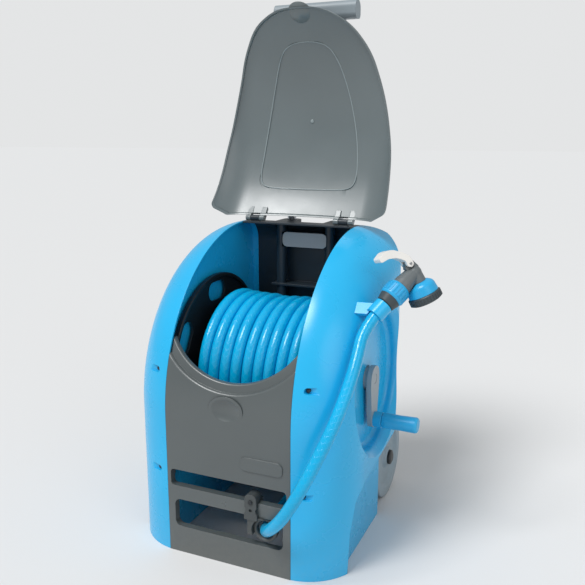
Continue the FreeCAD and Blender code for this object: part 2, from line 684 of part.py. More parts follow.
lid_ball = (lid_dimple_wide ** 2 + lid_dimple_deep ** 2) / (2 * lid_dimple_deep)
dimple_reach = LID_TOP - lid_dimple_deep + lid_ball
lid_spot = Vector(0, HINGE_Y - dimple_reach * math.sin(dimple_angle), ARC_Z + dimple_reach * math.cos(dimple_angle))
lid_bump = common("lid_bump", ball("lid_bump_ball", lid_ball + 2.5, lid_spot), lid_form("lid_bump_top", 1))
lid_dimple = ball("lid_dimple", lid_ball, lid_spot)
lid_arms = []
lid_bores = []
lid_rooms = []
for sign in (-1, 1):
    hinge_x = sign * size("hinge_offset")
    lid_rooms.append(rod(
        f"lid_room_{sign + 1}", 9.0, (hinge_x - KNUCKLE_WIDE / 2 - 0.5, HINGE.y, HINGE.z),
        (hinge_x + KNUCKLE_WIDE / 2 + 0.5, HINGE.y, HINGE.z)))
    for side in (-1, 1):
        near = hinge_x + side * (KNUCKLE_WIDE / 2 + 0.5)
        far = near + side * 9
        span = (min(near, far), max(near, far))
        lid_arms.append(rod(
            f"lid_knuckle_{sign + 1}_{side + 1}", KNUCKLE, (span[0], HINGE.y, HINGE.z), (span[1], HINGE.y, HINGE.z)))
        lid_arms.append(block(
            f"lid_arm_{sign + 1}_{side + 1}", (span[0], HINGE.y - 22, HINGE.z - 1),
            (span[1], HINGE.y, HINGE.z + KNUCKLE)))
    lid_bores.append(rod(
        f"lid_bore_{sign + 1}", size("pin_radius") + 0.02, (hinge_x - 30, HINGE.y, HINGE.z),
        (hinge_x + 30, HINGE.y, HINGE.z)))
arms_under = cut("arms_under", common("arms_inside", fuse("arm_set", *lid_arms), block(
    "arm_zone", (-200, 100, 300), (200, 400, 700))), cut("above_lid", block(
        "sky", (-200, 0, 300), (200, HINGE.y - 8, 700)), lid_outer))
lid_body = fuse("lid_body", lid_skin, lid_rim, lid_bump, arms_under)
lid = cut("lid", lid_body, inset_panel, lid_dimple, *lid_bores, *lid_rooms)
lid.Placement = Placement(Vector(), Rotation(X_AXIS, -size("lid_open")), HINGE)
keep(lid, "lid")

# Hinge pins: pressed into the lid's knuckles, turning in the rear panel's

pins = []
for sign in (-1, 1):
    reach = KNUCKLE_WIDE / 2 + 9.5
    hinge_x = sign * size("hinge_offset")
    pins.append(bar(
        f"hinge_pin_{sign + 1}", "Sizes.pin_radius", str(2 * reach), (hinge_x - reach, HINGE.y, HINGE.z), X_AXIS))
keep(group("hinge_pins", *pins), "hinge_pins")


# Reel: core, flanges with oval windows, wound hose

SPAN = size("winding_half")
FLANGE = size("flange_thick")
core_tube = cut(
    "core_tube", bar("core_bar", "Sizes.core_radius", "2 * Sizes.winding_half", (-SPAN, REEL.y, REEL.z), X_AXIS),
    bar("core_hollow", "Sizes.core_radius - Sizes.wall", "2 * Sizes.winding_half", (-SPAN, REEL.y, REEL.z), X_AXIS))
keep(core_tube, "drum_core")


def flange(side, sign):
    """A reel flange: a disc with a bead round its edge and six oval windows."""
    rim = size("flange_rim")
    radius = size("flange_radius")
    corners = [
        (0, 0), (radius - 6, 0), (radius - 6, -rim + FLANGE, 1), (radius, -rim + FLANGE, 2), (radius, FLANGE, 1),
        (0, FLANGE)]
    place = facing((sign * SPAN, REEL.y, REEL.z), (sign, 0, 0))
    disc = turned(f"{side}_flange_disc", corners, place)
    windows = []
    for number in range(6):
        angle = math.radians(60 * number + 30)
        centre = REEL + Vector(sign * SPAN, 118 * math.cos(angle), 118 * math.sin(angle))
        corner_list = [(-16, -28, 15.9), (16, -28, 15.9), (16, 28, 15.9), (-16, 28, 15.9)]
        turn = Rotation(X_AXIS, math.degrees(angle)) * Rotation(Y_AXIS, Z_AXIS, X_AXIS, "ZXY")
        windows.append(extrude(
            f"{side}_window_{number}",
            outline(f"{side}_window_{number}_outline", corner_list, Placement(centre, turn)), "40",
            both_ways=True))
    keep(cut(f"{side}_flange", disc, *windows), f"{side}_flange")


flange("left", -1)
flange("right", 1)

# Hose on the drum: plain lower layers, and one unbroken tube for the outer layer

PITCH = 2 * HOSE + size("turn_gap")
WIND = size("core_radius") + 2 * HOSE * size("hose_layers") - HOSE + 0.2
TURNS = int(size("hose_turns"))
LEAD_OFF = Vector(75, 121, 94.6)
END_SHIFT = 6.0
START_X = -SPAN + HOSE + 20.0


def drum_point(x, angle):
    return Vector(x, REEL.y + WIND * math.cos(angle), REEL.z + WIND * math.sin(angle))


to_reel = Vector(0, REEL.y - LEAD_OFF.y, REEL.z - LEAD_OFF.z)
tangent_rise = math.atan2(to_reel.z, to_reel.y) - math.asin(WIND / to_reel.Length)
LEAVE = tangent_rise - math.pi / 2
END_X = START_X + TURNS * PITCH + END_SHIFT
leave_point = drum_point(END_X, LEAVE)
leave_way = (LEAD_OFF - leave_point).normalize()


def arc_between(start, way, end):
    """The arc that leaves a point along a direction and reaches another point."""
    chord = end - start
    angle = way.getAngle(chord)
    if angle < 1e-9:
        return Part.LineSegment(start, end)
    sideways = (way - chord * (way.dot(chord) / chord.Length ** 2)).normalize()
    middle = start + chord / 2 + sideways * (chord.Length / 2 * math.tan(angle / 2))
    return Part.Arc(start, middle, end)


def biarc(start, start_way, end, end_way):
    """Two arcs that share a tangent, between two points with given directions."""
    span = end - start
    both = start_way + end_way
    spread = 2 * (1 - start_way.dot(end_way))
    along = span.dot(both)
    reach = (-along + math.sqrt(along ** 2 + spread * span.dot(span))) / spread
    joint = (start + start_way * reach + end - end_way * reach) / 2
    way = (end - end_way * reach - joint).normalize()
    return [arc_between(start, start_way, joint), arc_between(joint, way, end)]


slope = PITCH / (2 * math.pi * WIND)
stations = []
for step in range(4 * TURNS):
    angle = LEAVE + 2 * math.pi * TURNS - step * math.pi / 2
    way = Vector(slope, math.sin(angle), -math.cos(angle)).normalize()
    stations.append((drum_point(START_X + step * PITCH / 4, angle), way))
stations.append((leave_point, leave_way))
first_point, first_way = stations[0]
winding_edges = [Part.LineSegment(first_point - first_way * 2 * HOSE, first_point)]
for (start, start_way), (end, end_way) in zip(stations, stations[1:]):
    winding_edges += biarc(start, start_way, end, end_way)
WIND_END = leave_point + leave_way * 2 * HOSE
winding_edges.append(Part.LineSegment(leave_point, WIND_END))


def tube_along(edges, radius):
    """A round tube along a path of lines and arcs."""
    path = Part.Wire([edge.toShape() for edge in edges])
    start = path.Edges[0].valueAt(path.Edges[0].FirstParameter)
    way = path.Edges[0].tangentAt(path.Edges[0].FirstParameter)
    ring = Part.Wire([Part.Circle(start, way, radius).toShape()])
    return path, path.makePipeShell([ring], True, False)


winding_path, winding_shape = tube_along(winding_edges, HOSE)
winding = doc.addObject("Part::Feature", "hose_winding")
winding.Shape = winding_shape
keep(winding, "hose_winding")


def self_gap(path, radius, spacing, skip):
    """The least gap between stretches of a tube that lie further apart along it than a length."""
    points = path.discretize(Distance=spacing)
    least = 1e9
    for index, point in enumerate(points):
        for other in points[index + int(skip / spacing):]:
            least = min(least, point.distanceToPoint(other))
    return least - 2 * radius


print("winding gap to itself, mm:", round(self_gap(winding_path, HOSE, 12.0, 300.0), 3))
print("winding volume over section times length:",
      round(winding_shape.Volume / (math.pi * HOSE ** 2 * winding_path.Length), 4))
print("wound hose, m:", round(2 * math.pi * TURNS * sum(
    size("core_radius") + HOSE * (2 * layer + 1) for layer in range(int(size("hose_layers")))) / 1000, 2))

INNER_TOP = WIND - HOSE - 0.4
inner_sleeve = cut(
    "inner_sleeve", rod("inner_bar", INNER_TOP, (-SPAN + 1, REEL.y, REEL.z), (SPAN - 1, REEL.y, REEL.z)),
    rod("inner_bore", size("core_radius") + 0.3, (-SPAN, REEL.y, REEL.z), (SPAN, REEL.y, REEL.z)))
riser_way = Vector(first_way) * -1
riser_start = first_point + riser_way * (2 * HOSE + 0.3)
riser = bar("riser", "Sizes.hose_radius", "2 * Sizes.hose_radius", riser_start, riser_way)
riser_middle = riser_start + riser_way * HOSE
to_axis = (Vector(first_point.x, REEL.y, REEL.z) - first_point).normalize()
riser_root = bar("riser_root", "Sizes.hose_radius - 1", "2 * Sizes.hose_radius", riser_middle, to_axis)
keep(fuse("hose_inner_layers", inner_sleeve, riser, riser_root), "hose_inner_layers")


# Drive side: hub, crank arm, screw, spindle and grip

CRANK_X = size("dish_floor") + 6.0
CRANK = size("crank_thick")
HUB_DISC = 34.0
hub_start = SPAN + FLANGE
hub_corners = [
    (0, 0), (HUB_DISC, 0), (HUB_DISC, 2), (size("shaft_radius"), 2),
    (size("shaft_radius"), CRANK_X - hub_start), (3.2, CRANK_X - hub_start), (3.2, CRANK_X - hub_start - 20),
    (0, CRANK_X - hub_start - 20)]
keep(turned("drive_hub", hub_corners, facing((hub_start, REEL.y, REEL.z), X_AXIS)), "drive_hub")

grip_z = REEL.z - size("crank_radius")
arm_corners = [
    (REEL.y - 21, REEL.z + 21, 20.5), (REEL.y - 21, REEL.z - 12, 30), (REEL.y - 13, grip_z, 60),
    (REEL.y - 13, grip_z - 13, 12.5), (REEL.y + 13, grip_z - 13, 12.5), (REEL.y + 13, grip_z, 60),
    (REEL.y + 21, REEL.z - 12, 30), (REEL.y + 21, REEL.z + 21, 20.5)]
arm_plate = extrude("arm_plate", outline("arm_outline", arm_corners, side_plane(CRANK_X)), "Sizes.crank_thick")
arm_screw_hole = rod("arm_screw_hole", 3.2, (CRANK_X - 5, REEL.y, REEL.z), (CRANK_X + 30, REEL.y, REEL.z))
arm_spindle_hole = rod(
    "arm_spindle_hole", size("spindle_radius"), (CRANK_X - 5, REEL.y, grip_z), (CRANK_X + 40, REEL.y, grip_z))
arm_head_seat = rod("arm_head_seat", 7.8, (CRANK_X + CRANK - 3, REEL.y, REEL.z), (CRANK_X + 30, REEL.y, REEL.z))
keep(cut("crank_arm", arm_plate, arm_screw_hole, arm_head_seat, arm_spindle_hole), "crank_arm")
screw_corners = [(0, -CRANK - 13), (3.0, -CRANK - 13), (3.0, 0), (7.5, 0), (7.5, 2.8, 0.8), (0, 2.8)]
keep(turned("crank_screw", screw_corners, facing((CRANK_X + CRANK - 3, REEL.y, REEL.z), X_AXIS)), "crank_screw")

BOSS = 13.4
collar_out = size("grip_radius") - 0.3
collar_ring = [
    (size("spindle_radius"), 0), (collar_out, 0), (collar_out, BOSS, 0.8), (size("spindle_radius"), BOSS)]
keep(turned("grip_collar", collar_ring, facing((CRANK_X + CRANK, REEL.y, grip_z), X_AXIS)), "grip_collar")
grip_start = CRANK_X + CRANK + BOSS
GRIP_LONG = size("grip_length")
spindle_corners = [
    (0, 1 - CRANK - BOSS), (size("spindle_radius") - 0.02, 1 - CRANK - BOSS),
    (size("spindle_radius") - 0.02, GRIP_LONG - 14),
    (5.2, GRIP_LONG - 14), (5.2, GRIP_LONG - 10, 1), (0, GRIP_LONG - 10)]
keep(turned("grip_spindle", spindle_corners, facing((grip_start, REEL.y, grip_z), X_AXIS)), "grip_spindle")
GRIP = size("grip_radius")
grip_corners = [
    (size("spindle_radius") + RUN, 0.5), (GRIP - 1, 0.5, 1.5), (GRIP, 6, 6), (GRIP - 0.6, GRIP_LONG / 2, 60),
    (GRIP, GRIP_LONG - 4, 2), (GRIP - 1.5, GRIP_LONG, 3), (0, GRIP_LONG), (0, GRIP_LONG - 9.4), (5.8, GRIP_LONG - 9.4),
    (5.8, GRIP_LONG - 14.4), (size("spindle_radius") + RUN, GRIP_LONG - 14.4)]
keep(turned("crank_grip", grip_corners, facing((grip_start, REEL.y, grip_z), X_AXIS)), "crank_grip")


# Water side: hollow axle with seals, elbow inside the drum, and the inlet on the left shell

AXLE_TUBE = size("axle_tube_radius")
DISH_X = size("dish_floor")
axle_end = DISH_X + 18.0 - hub_start
SEAL_SPOTS = [axle_end - 13.0, axle_end - 6.0]
axle_corners = [(8, 0), (HUB_DISC, 0), (HUB_DISC, 2), (AXLE_TUBE, 2)]
for spot in SEAL_SPOTS:
    axle_corners += [
        (AXLE_TUBE, spot - 1.6), (AXLE_TUBE - 3.1, spot - 1.6), (AXLE_TUBE - 3.1, spot + 1.6), (AXLE_TUBE, spot + 1.6)]
axle_corners += [(AXLE_TUBE, axle_end), (8, axle_end)]
left_way = Vector(-1, 0, 0)
axle_place = facing((-hub_start, REEL.y, REEL.z), left_way)
keep(turned("water_axle", axle_corners, axle_place), "water_axle")
seals = []
for number, spot in enumerate(SEAL_SPOTS):
    ring = doc.addObject("Part::Torus", f"seal_{number}")
    ring.Radius1 = AXLE_TUBE - 1.55
    ring.Radius2 = 1.45
    ring.Placement = facing(Vector(-hub_start - spot, REEL.y, REEL.z), left_way)
    seals.append(ring)
keep(group("inlet_seals", *seals), "inlet_seals")

elbow_x = -SPAN + 26.0
elbow_top = size("core_radius") - WALL
elbow = cut(
    "outlet_elbow",
    fuse("elbow_body", rod("elbow_run", 12, (-SPAN, REEL.y, REEL.z), (elbow_x + 12, REEL.y, REEL.z)),
         rod("elbow_rise", 10, (elbow_x, REEL.y, REEL.z), (elbow_x, REEL.y, REEL.z + elbow_top - 1.2))),
    rod("elbow_bore", 8, (-SPAN - 1, REEL.y, REEL.z), (elbow_x + 7, REEL.y, REEL.z)),
    rod("elbow_outlet", 6.5, (elbow_x, REEL.y, REEL.z), (elbow_x, REEL.y, REEL.z + elbow_top)))
keep(elbow, "outlet_elbow")

INLET_LONG = 34.0
SPIGOT = 8.5
inlet_turned = [
    (AXLE_TUBE + RUN, 0), (HUB_DISC, 0), (HUB_DISC, 3, 1), (22, 3, 1), (22, INLET_LONG, 4),
    (0, INLET_LONG), (0, 21), (AXLE_TUBE + RUN, 21)]
inlet_place = facing((-DISH_X, REEL.y, REEL.z), left_way)
inlet_barrel = turned("inlet_barrel", inlet_turned, inlet_place)
SPIGOT_LONG = 36.0
spigot_x = -DISH_X - INLET_LONG
spigot = rod("spigot", SPIGOT, (spigot_x + 2, REEL.y, REEL.z), (spigot_x - SPIGOT_LONG, REEL.y, REEL.z))
spigot_bore = rod("spigot_bore", 6.0, (spigot_x + 20, REEL.y, REEL.z), (spigot_x - SPIGOT_LONG - 2, REEL.y, REEL.z))
inlet_holes = []
inlet_fasteners = []
for number in range(3):
    angle = math.radians(90 + 120 * number)
    spot = Vector(-DISH_X, REEL.y + 28 * math.cos(angle), REEL.z + 28 * math.sin(angle))
    inlet_holes.append(rod(f"inlet_hole_{number}", 2.1, spot + Vector(5, 0, 0), spot - Vector(20, 0, 0)))
    fastener = [(0, 0), (4.0, 0), (4.0, 2.4, 1), (0, 2.4)]
    inlet_fasteners.append(turned(f"inlet_screw_{number}", fastener, facing(spot - Vector(3, 0, 0), left_way)))
keep(cut("inlet_swivel", fuse("inlet_body", inlet_barrel, spigot), spigot_bore, *inlet_holes), "inlet_swivel")
keep(group("inlet_screws", *inlet_fasteners), "inlet_screws")


# Wheels, axle and caps

WHEEL = size("wheel_radius")
WIDE = size("wheel_width")
AXLE_Y = size("axle_depth")
CAP = 6.0
axle_half = size("wheel_offset") + WIDE / 2 + CAP - 1
keep(bar("wheel_axle", "Sizes.axle_radius", str(2 * axle_half), (-axle_half, AXLE_Y, WHEEL), X_AXIS), "wheel_axle")


def wheel(side, sign):
    """A moulded wheel: tread band, recessed ring face and hub."""
    bore = size("axle_radius") + RUN
    half = WIDE / 2
    corners = [
        (bore, -half - 3), (16, -half - 3, 1), (16, -half + 6, 2), (WHEEL - 24, -half + 6, 3),
        (WHEEL - 18, -half, 2), (WHEEL, -half, 4), (WHEEL, half, 4), (WHEEL - 18, half, 2),
        (WHEEL - 24, half - 6, 3), (20, half - 6, 3), (16, half, 2), (bore, half)]
    place = facing((sign * size("wheel_offset"), AXLE_Y, WHEEL), (sign, 0, 0))
    keep(turned(f"{side}_wheel", corners, place), f"{side}_wheel")


wheel("left", -1)
wheel("right", 1)
caps = []
for sign in (-1, 1):
    inner = sign * (size("wheel_offset") + WIDE / 2 + 0.5)
    cap_corners = [
        (size("axle_radius") + 0.02, 0), (13, 0), (13, CAP - 2, 2), (8, CAP, 3), (0, CAP),
        (0, CAP - 1.4), (size("axle_radius") + 0.02, CAP - 1.4)]
    caps.append(turned(f"axle_cap_{sign + 1}", cap_corners, facing((inner, AXLE_Y, WHEEL), (sign, 0, 0))))
keep(group("axle_caps", *caps), "axle_caps")


# Handle: two tubes, a grip bar and end stops

TUBE_LONG = size("tube_length")
HANDLE_Z = size("handle_height")
tube_low = HANDLE_Z - TUBE_LONG
for side, sign in (("left", -1), ("right", 1)):
    tube_x = sign * size("tube_offset")
    base = (tube_x, TUBE_Y, tube_low)
    keep(cut(
        f"handle_{side}_tube", bar(f"{side}_tube_bar", "Sizes.tube_radius", "Sizes.tube_length", base, Z_AXIS),
        bar(f"{side}_tube_bore", "Sizes.tube_radius - 1.5", "Sizes.tube_length", base, Z_AXIS)), f"handle_{side}_tube")
GRIP_LOW = HANDLE_Z - 13.0
grip_section = [(-13, GRIP_LOW, 9), (13, GRIP_LOW, 9), (13, GRIP_LOW + 30, 12), (-13, GRIP_LOW + 30, 12)]
grip_plane = Placement(
    Vector(-75, TUBE_Y, 0), Rotation(Vector(0, 1, 0), Vector(0, 0, 1), X_AXIS, "ZXY"))
grip_bar = extrude("grip_bar", outline("grip_bar_outline", grip_section, grip_plane), "150")
grip_sockets = [
    rod(f"grip_socket_{sign + 1}", TUBE + 0.02, (sign * size("tube_offset"), TUBE_Y, GRIP_LOW - 5),
        (sign * size("tube_offset"), TUBE_Y, HANDLE_Z + 0.02)) for sign in (-1, 1)]
keep(cut("handle_grip", grip_bar, *grip_sockets), "handle_grip")
stops = []
for sign in (-1, 1):
    stop_corners = [(0, 0), (TUBE + 4, 0), (TUBE + 4, 4, 1), (TUBE - 1.52, 4), (TUBE - 1.52, 14), (0, 14)]
    stop_corners = [(radius, along) if radius < TUBE else (radius, along, 0.8) for radius, along, *_ in stop_corners]
    stops.append(turned(
        f"handle_stop_{sign + 1}", stop_corners, facing((sign * size("tube_offset"), TUBE_Y, tube_low - 4), Z_AXIS)))
keep(group("handle_stops", *stops), "handle_stops")


# Hose guide: a slider and keeper round the rail, with a screw and the eye that the hose runs through

EYE = Vector(size("eye_offset"), FRONT_Y + 7, size("eye_height"))
EYE_BORE = size("eye_bore")
SLIDER_X = EYE.x - 20.0
SLIDER_HALF = 11.0
rail_front = FRONT_Y - SLIDE
rail_back = FRONT_Y + size("rail_thick") + SLIDE
slider_low = RAIL_LOW - SLIDE - 4
slider_top = RAIL_HIGH + SLIDE + 14
slider_corners = [
    (SLIDER_X - SLIDER_HALF, slider_low, 2), (SLIDER_X + SLIDER_HALF, slider_low, 2),
    (SLIDER_X + SLIDER_HALF - 2, slider_top, 7), (SLIDER_X - SLIDER_HALF + 2, slider_top, 7)]
slider_frame = extrude(
    "slider_frame", outline("slider_outline", slider_corners, front_plane(rail_back)),
    "Sizes.rail_thick + 2 * Sizes.sliding_gap + 5")
slider_hollow = block(
    "slider_hollow", (SLIDER_X - SLIDER_HALF - 1, rail_front, RAIL_LOW - SLIDE),
    (SLIDER_X + SLIDER_HALF + 1, rail_back + 1, RAIL_HIGH + SLIDE))
slider_screw_hole = rod(
    "slider_screw_hole", 2.1, (SLIDER_X, rail_front - 6, RAIL_HIGH + SLIDE + 2),
    (SLIDER_X, rail_back + 8, RAIL_HIGH + SLIDE + 2))
slider_arm = block(
    "slider_arm", (SLIDER_X - 6, FRONT_Y - 4, EYE.z - 8), (EYE.x, FRONT_Y + 12, RAIL_LOW - SLIDE))
slider_waist = [
    rod(f"slider_waist_{sign + 1}", 7, (SLIDER_X + sign * (SLIDER_HALF + 4), FRONT_Y - 30, (RAIL_LOW + RAIL_HIGH) / 2),
        (SLIDER_X + sign * (SLIDER_HALF + 4), rail_front, (RAIL_LOW + RAIL_HIGH) / 2)) for sign in (-1, 1)]
slider_spot = rod(
    "slider_spot", 2.5, (SLIDER_X, rail_front - 6, (RAIL_LOW + RAIL_HIGH) / 2),
    (SLIDER_X, rail_front - 2, (RAIL_LOW + RAIL_HIGH) / 2))
eye_room = bar("eye_room", "Sizes.eye_bore + 5.3", "60", (EYE.x, FRONT_Y - 20, EYE.z), Y_AXIS)
slider_body = fuse("slider_body", slider_frame, slider_arm)
keep(cut(
    "guide_slider", slider_body, slider_hollow, slider_screw_hole, slider_spot, eye_room, *slider_waist),
    "guide_slider")
keeper = block(
    "keeper_plate", (SLIDER_X - SLIDER_HALF, rail_back, RAIL_LOW - SLIDE - 4),
    (SLIDER_X + SLIDER_HALF, rail_back + 4, RAIL_HIGH + SLIDE + 4))
keeper_hole = rod(
    "keeper_hole", 2.1, (SLIDER_X, rail_back - 1, RAIL_HIGH + SLIDE + 2),
    (SLIDER_X, rail_back + 8, RAIL_HIGH + SLIDE + 2))
keep(cut("guide_keeper", keeper, keeper_hole), "guide_keeper")
screw_long = rail_back - rail_front + 5
guide_screw = [(0, -2.2), (3.6, -2.2, 1), (3.6, 0), (2.0, 0), (2.0, screw_long + 3), (0, screw_long + 3)]
keep(turned("guide_screw", guide_screw, facing(
    (SLIDER_X, rail_front - 5, RAIL_HIGH + SLIDE + 2), Y_AXIS)), "guide_screw")
eye_corners = [
    (EYE_BORE, -5, 2.5), (EYE_BORE + 5.2, -5, 2), (EYE_BORE + 5.2, 5, 2), (EYE_BORE, 5, 2.5)]
keep(turned("guide_eye", eye_corners, facing(EYE, Y_AXIS)), "guide_eye")


# Nozzle: lies in a plane of its own beside the clip. U runs along the plane, V up it.

NOZZLE = Vector(214, 113, 418)
nozzle_turn = Rotation(Z_AXIS, size("nozzle_turn")) * Rotation(X_AXIS, 90 - size("nozzle_tilt"))
GRIP_WAY = Vector(0.761, 0.649, 0)
SPRAY_WAY = Vector(0.40, -0.916, 0)


def in_plane(u, v, w=0.0):
    """A point of the nozzle's plane in the cart's frame."""
    return NOZZLE + nozzle_turn.multVec(Vector(u, v, w))


def along(way):
    return nozzle_turn.multVec(way)


def grip_point(distance):
    return in_plane(GRIP_WAY.x * distance, GRIP_WAY.y * distance)


COLLAR = size("collar_radius")
collar_place = facing(NOZZLE, along(GRIP_WAY))
connector = [
    (HOSE + 0.3, -24, 1), (13.5, -24, 2), (COLLAR - 1.5, -12.2), (COLLAR - 1.5, -12), (8, -12), (8, -20),
    (HOSE + 0.3, -20)]
keep(turned("hose_connector", connector, collar_place), "hose_connector")
collar = [(8, -12), (COLLAR - 2, -12, 1), (COLLAR, -9, 4), (COLLAR, 9, 5), (COLLAR - 3, 12, 1), (8, 12)]
keep(turned("nozzle_collar", collar, collar_place), "nozzle_collar")
ELBOW = Vector(GRIP_WAY.x * 42, GRIP_WAY.y * 42, 0)
stem = turned("nozzle_stem", [(0, 12), (14.5, 12), (14, 20, 20), (11, 42), (0, 42)], collar_place)
knuckle_ball = ball("nozzle_knuckle", 11.5, in_plane(ELBOW.x, ELBOW.y))
barrel = turned(
    "nozzle_barrel", [(0, 0), (11, 0), (12, 15), (0, 15)], facing(in_plane(ELBOW.x, ELBOW.y), along(SPRAY_WAY)))
PIVOT = Vector(23, 41, 0)
lug_corners = [(30, 24), (40, 36, 4), (28, 47, 5), (17, 44, 5), (17, 33)]
lug_plane = Placement(in_plane(0, 0, -4), nozzle_turn)
lug = extrude("trigger_lug", outline("trigger_lug_outline", lug_corners, lug_plane), "8")
pin_hole = rod("pin_hole", 1.92, in_plane(PIVOT.x, PIVOT.y, -20), in_plane(PIVOT.x, PIVOT.y, 20))
nozzle_parts = fuse("nozzle_parts", stem, knuckle_ball, barrel, lug)
keep(cut("nozzle_body", nozzle_parts, pin_hole), "nozzle_body")
pin_reach = 11.0
keep(
    rod("trigger_pin", 1.9, in_plane(PIVOT.x, PIVOT.y, -pin_reach), in_plane(PIVOT.x, PIVOT.y, pin_reach)),
    "trigger_pin")
head_place = facing(in_plane(ELBOW.x, ELBOW.y), along(SPRAY_WAY))
head = [(0, 15), (14, 15, 5), (21.5, 20, 9), (23, 34), (0, 34)]
stem_room = rod("head_stem_room", 14.8, grip_point(5), grip_point(42))
keep(cut("nozzle_head", turned("head_form", head, head_place), stem_room), "nozzle_head")
dial = [(0, 34.3), (23, 34.3), (24.5, 36, 1), (24.5, 45, 2), (20, 47.5, 1.5), (19, 45), (0, 45)]
keep(turned("nozzle_dial", dial, head_place), "nozzle_dial")

trigger_corners = [
    (28, 42, 4), (22, 52, 5), (10, 58, 20), (-6, 62.5, 20), (-18, 59.5, 12), (-27, 50, 3), (-23.5, 43.5, 3),
    (-12, 49, 12), (0, 50, 14), (8, 48, 10), (15.5, 44.5, 5), (18, 37, 5), (26, 35.5, 4)]
trigger_plane = Placement(in_plane(0, 0, -10), nozzle_turn)
trigger_block = extrude("trigger_block", outline("trigger_outline", trigger_corners, trigger_plane), "20")
trigger_fork = rod(
    "trigger_fork", 13.0, in_plane(PIVOT.x + 4, PIVOT.y - 3, -4.4), in_plane(PIVOT.x + 4, PIVOT.y - 3, 4.4))
trigger_bore = rod("trigger_bore", 1.9 + RUN, in_plane(PIVOT.x, PIVOT.y, -20), in_plane(PIVOT.x, PIVOT.y, 20))
trigger_room = fuse(
    "trigger_room", rod("stem_room", 15.0, grip_point(8), in_plane(ELBOW.x, ELBOW.y)),
    ball("knuckle_room", 12.2, in_plane(ELBOW.x, ELBOW.y)))
keep(cut("nozzle_trigger", trigger_block, trigger_fork, trigger_bore, trigger_room), "nozzle_trigger")


# Nozzle clip: an open ring round the hose on a web from the right shell

CLIP_AT = -36.0
CLIP_HALF = 11.0
clip_way = along(GRIP_WAY)
clip_low = grip_point(CLIP_AT - CLIP_HALF)
clip_high = grip_point(CLIP_AT + CLIP_HALF)
clip_outer = rod("clip_outer", HOSE + 4.4, clip_low, clip_high)
clip_bore = rod("clip_bore", HOSE + 0.35, grip_point(CLIP_AT - 24), grip_point(CLIP_AT + 15))
to_shell = Vector(-1, 0, 0)
inward = (to_shell - clip_way * to_shell.dot(clip_way)).normalize()
web_corners = [(0, 0), (0, 2 * CLIP_HALF), (60, 2 * CLIP_HALF - 34), (60, -34)]
web_plane = Placement(clip_low, Rotation(inward, clip_way, Vector(0, 0, 0), "XYZ"))
web = extrude("clip_web", outline("clip_web_outline", web_corners, web_plane), "7", both_ways=True)
mouth = doc.addObject("Part::Box", "clip_mouth")
mouth.Length = 30
mouth.Width = 13
mouth.Height = 36
mouth.Placement = Placement(
    grip_point(CLIP_AT - 18) - inward.cross(clip_way) * -6.5, Rotation(inward * -1, Vector(0, 0, 0), clip_way, "ZXY"))
near_shell = cart_form("near_shell", -0.15)
keep(cut("nozzle_clip", fuse("clip_body", clip_outer, web), clip_bore, mouth, near_shell), "nozzle_clip")


# Free hose: from the drum to the eye, and from the eye round the shell to the nozzle

EYE_POINT = Vector(EYE)
LEAD_ROUTE = [
    WIND_END + leave_way * 0.4, leave_point + leave_way * 59, Vector(79, 149.5, 117.6), Vector(69.5, 116.9, 92.9),
    Vector(56, 80, 69), Vector(48.6, 47.5, 57.7), Vector(51.5, 17.5, 58.3), EYE_POINT]
TAIL_ROUTE = [
    EYE_POINT, Vector(70.94, -29.71, 79.96), Vector(85.6, -47, 94.5), Vector(100.5, -56.5, 110.5),
    Vector(115.6, -60.8, 131), Vector(129.6, -59.5, 155), Vector(142, -52, 181), Vector(153.5, -39, 210),
    Vector(164, -21.5, 239), Vector(172, -3, 268), Vector(178, 15, 298), Vector(182, 37, 331),
    grip_point(-69), grip_point(-20.2)]


def hose_along(label, route):
    """A hose along straight runs joined by arcs as large as the runs allow."""
    edges = []
    radii = []
    start = route[0]
    for before, corner, after in zip(route, route[1:], route[2:]):
        back = (before - corner).normalize()
        ahead = (after - corner).normalize()
        shorter = min((before - corner).Length, (after - corner).Length)
        turn = math.pi - back.getAngle(ahead)
        reach = 0.45 * shorter
        radius = reach / math.tan(turn / 2)
        inner = (back + ahead).normalize()
        middle = corner + inner * (radius / math.cos(turn / 2) - radius)
        edges.append(Part.LineSegment(start, corner + back * reach))
        edges.append(Part.Arc(corner + back * reach, middle, corner + ahead * reach))
        radii.append(round(radius, 1))
        start = corner + ahead * reach
    edges.append(Part.LineSegment(start, route[-1]))
    path, shape = tube_along(edges, HOSE)
    print(label, "radii, mm:", radii, "length, mm:", round(path.Length, 1), "volume over section times length:",
          round(shape.Volume / (math.pi * HOSE ** 2 * path.Length), 4))
    item = doc.addObject("Part::Feature", label)
    item.Shape = shape
    keep(item, label)


hose_along("hose_lead", LEAD_ROUTE)
hose_along("hose_tail", TAIL_ROUTE)

doc.recompute()
faults = [item.Name for item in doc.Objects if "Invalid" in item.State or "Error" in item.State]
for item in SUBPARTS:
    if item.Shape.isNull() or not item.Shape.isValid() or not item.Shape.Solids:
        faults.append(item.Label)
if faults:
    raise RuntimeError("failed: " + ", ".join(faults))
os.makedirs("parts", exist_ok=True)
for item in SUBPARTS:
    item.Shape.exportStep(f"parts/{item.Label}.step")
print(len(SUBPARTS), "sub-parts")
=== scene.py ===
import bmesh
import bpy
import math
from mathutils import Matrix, Vector


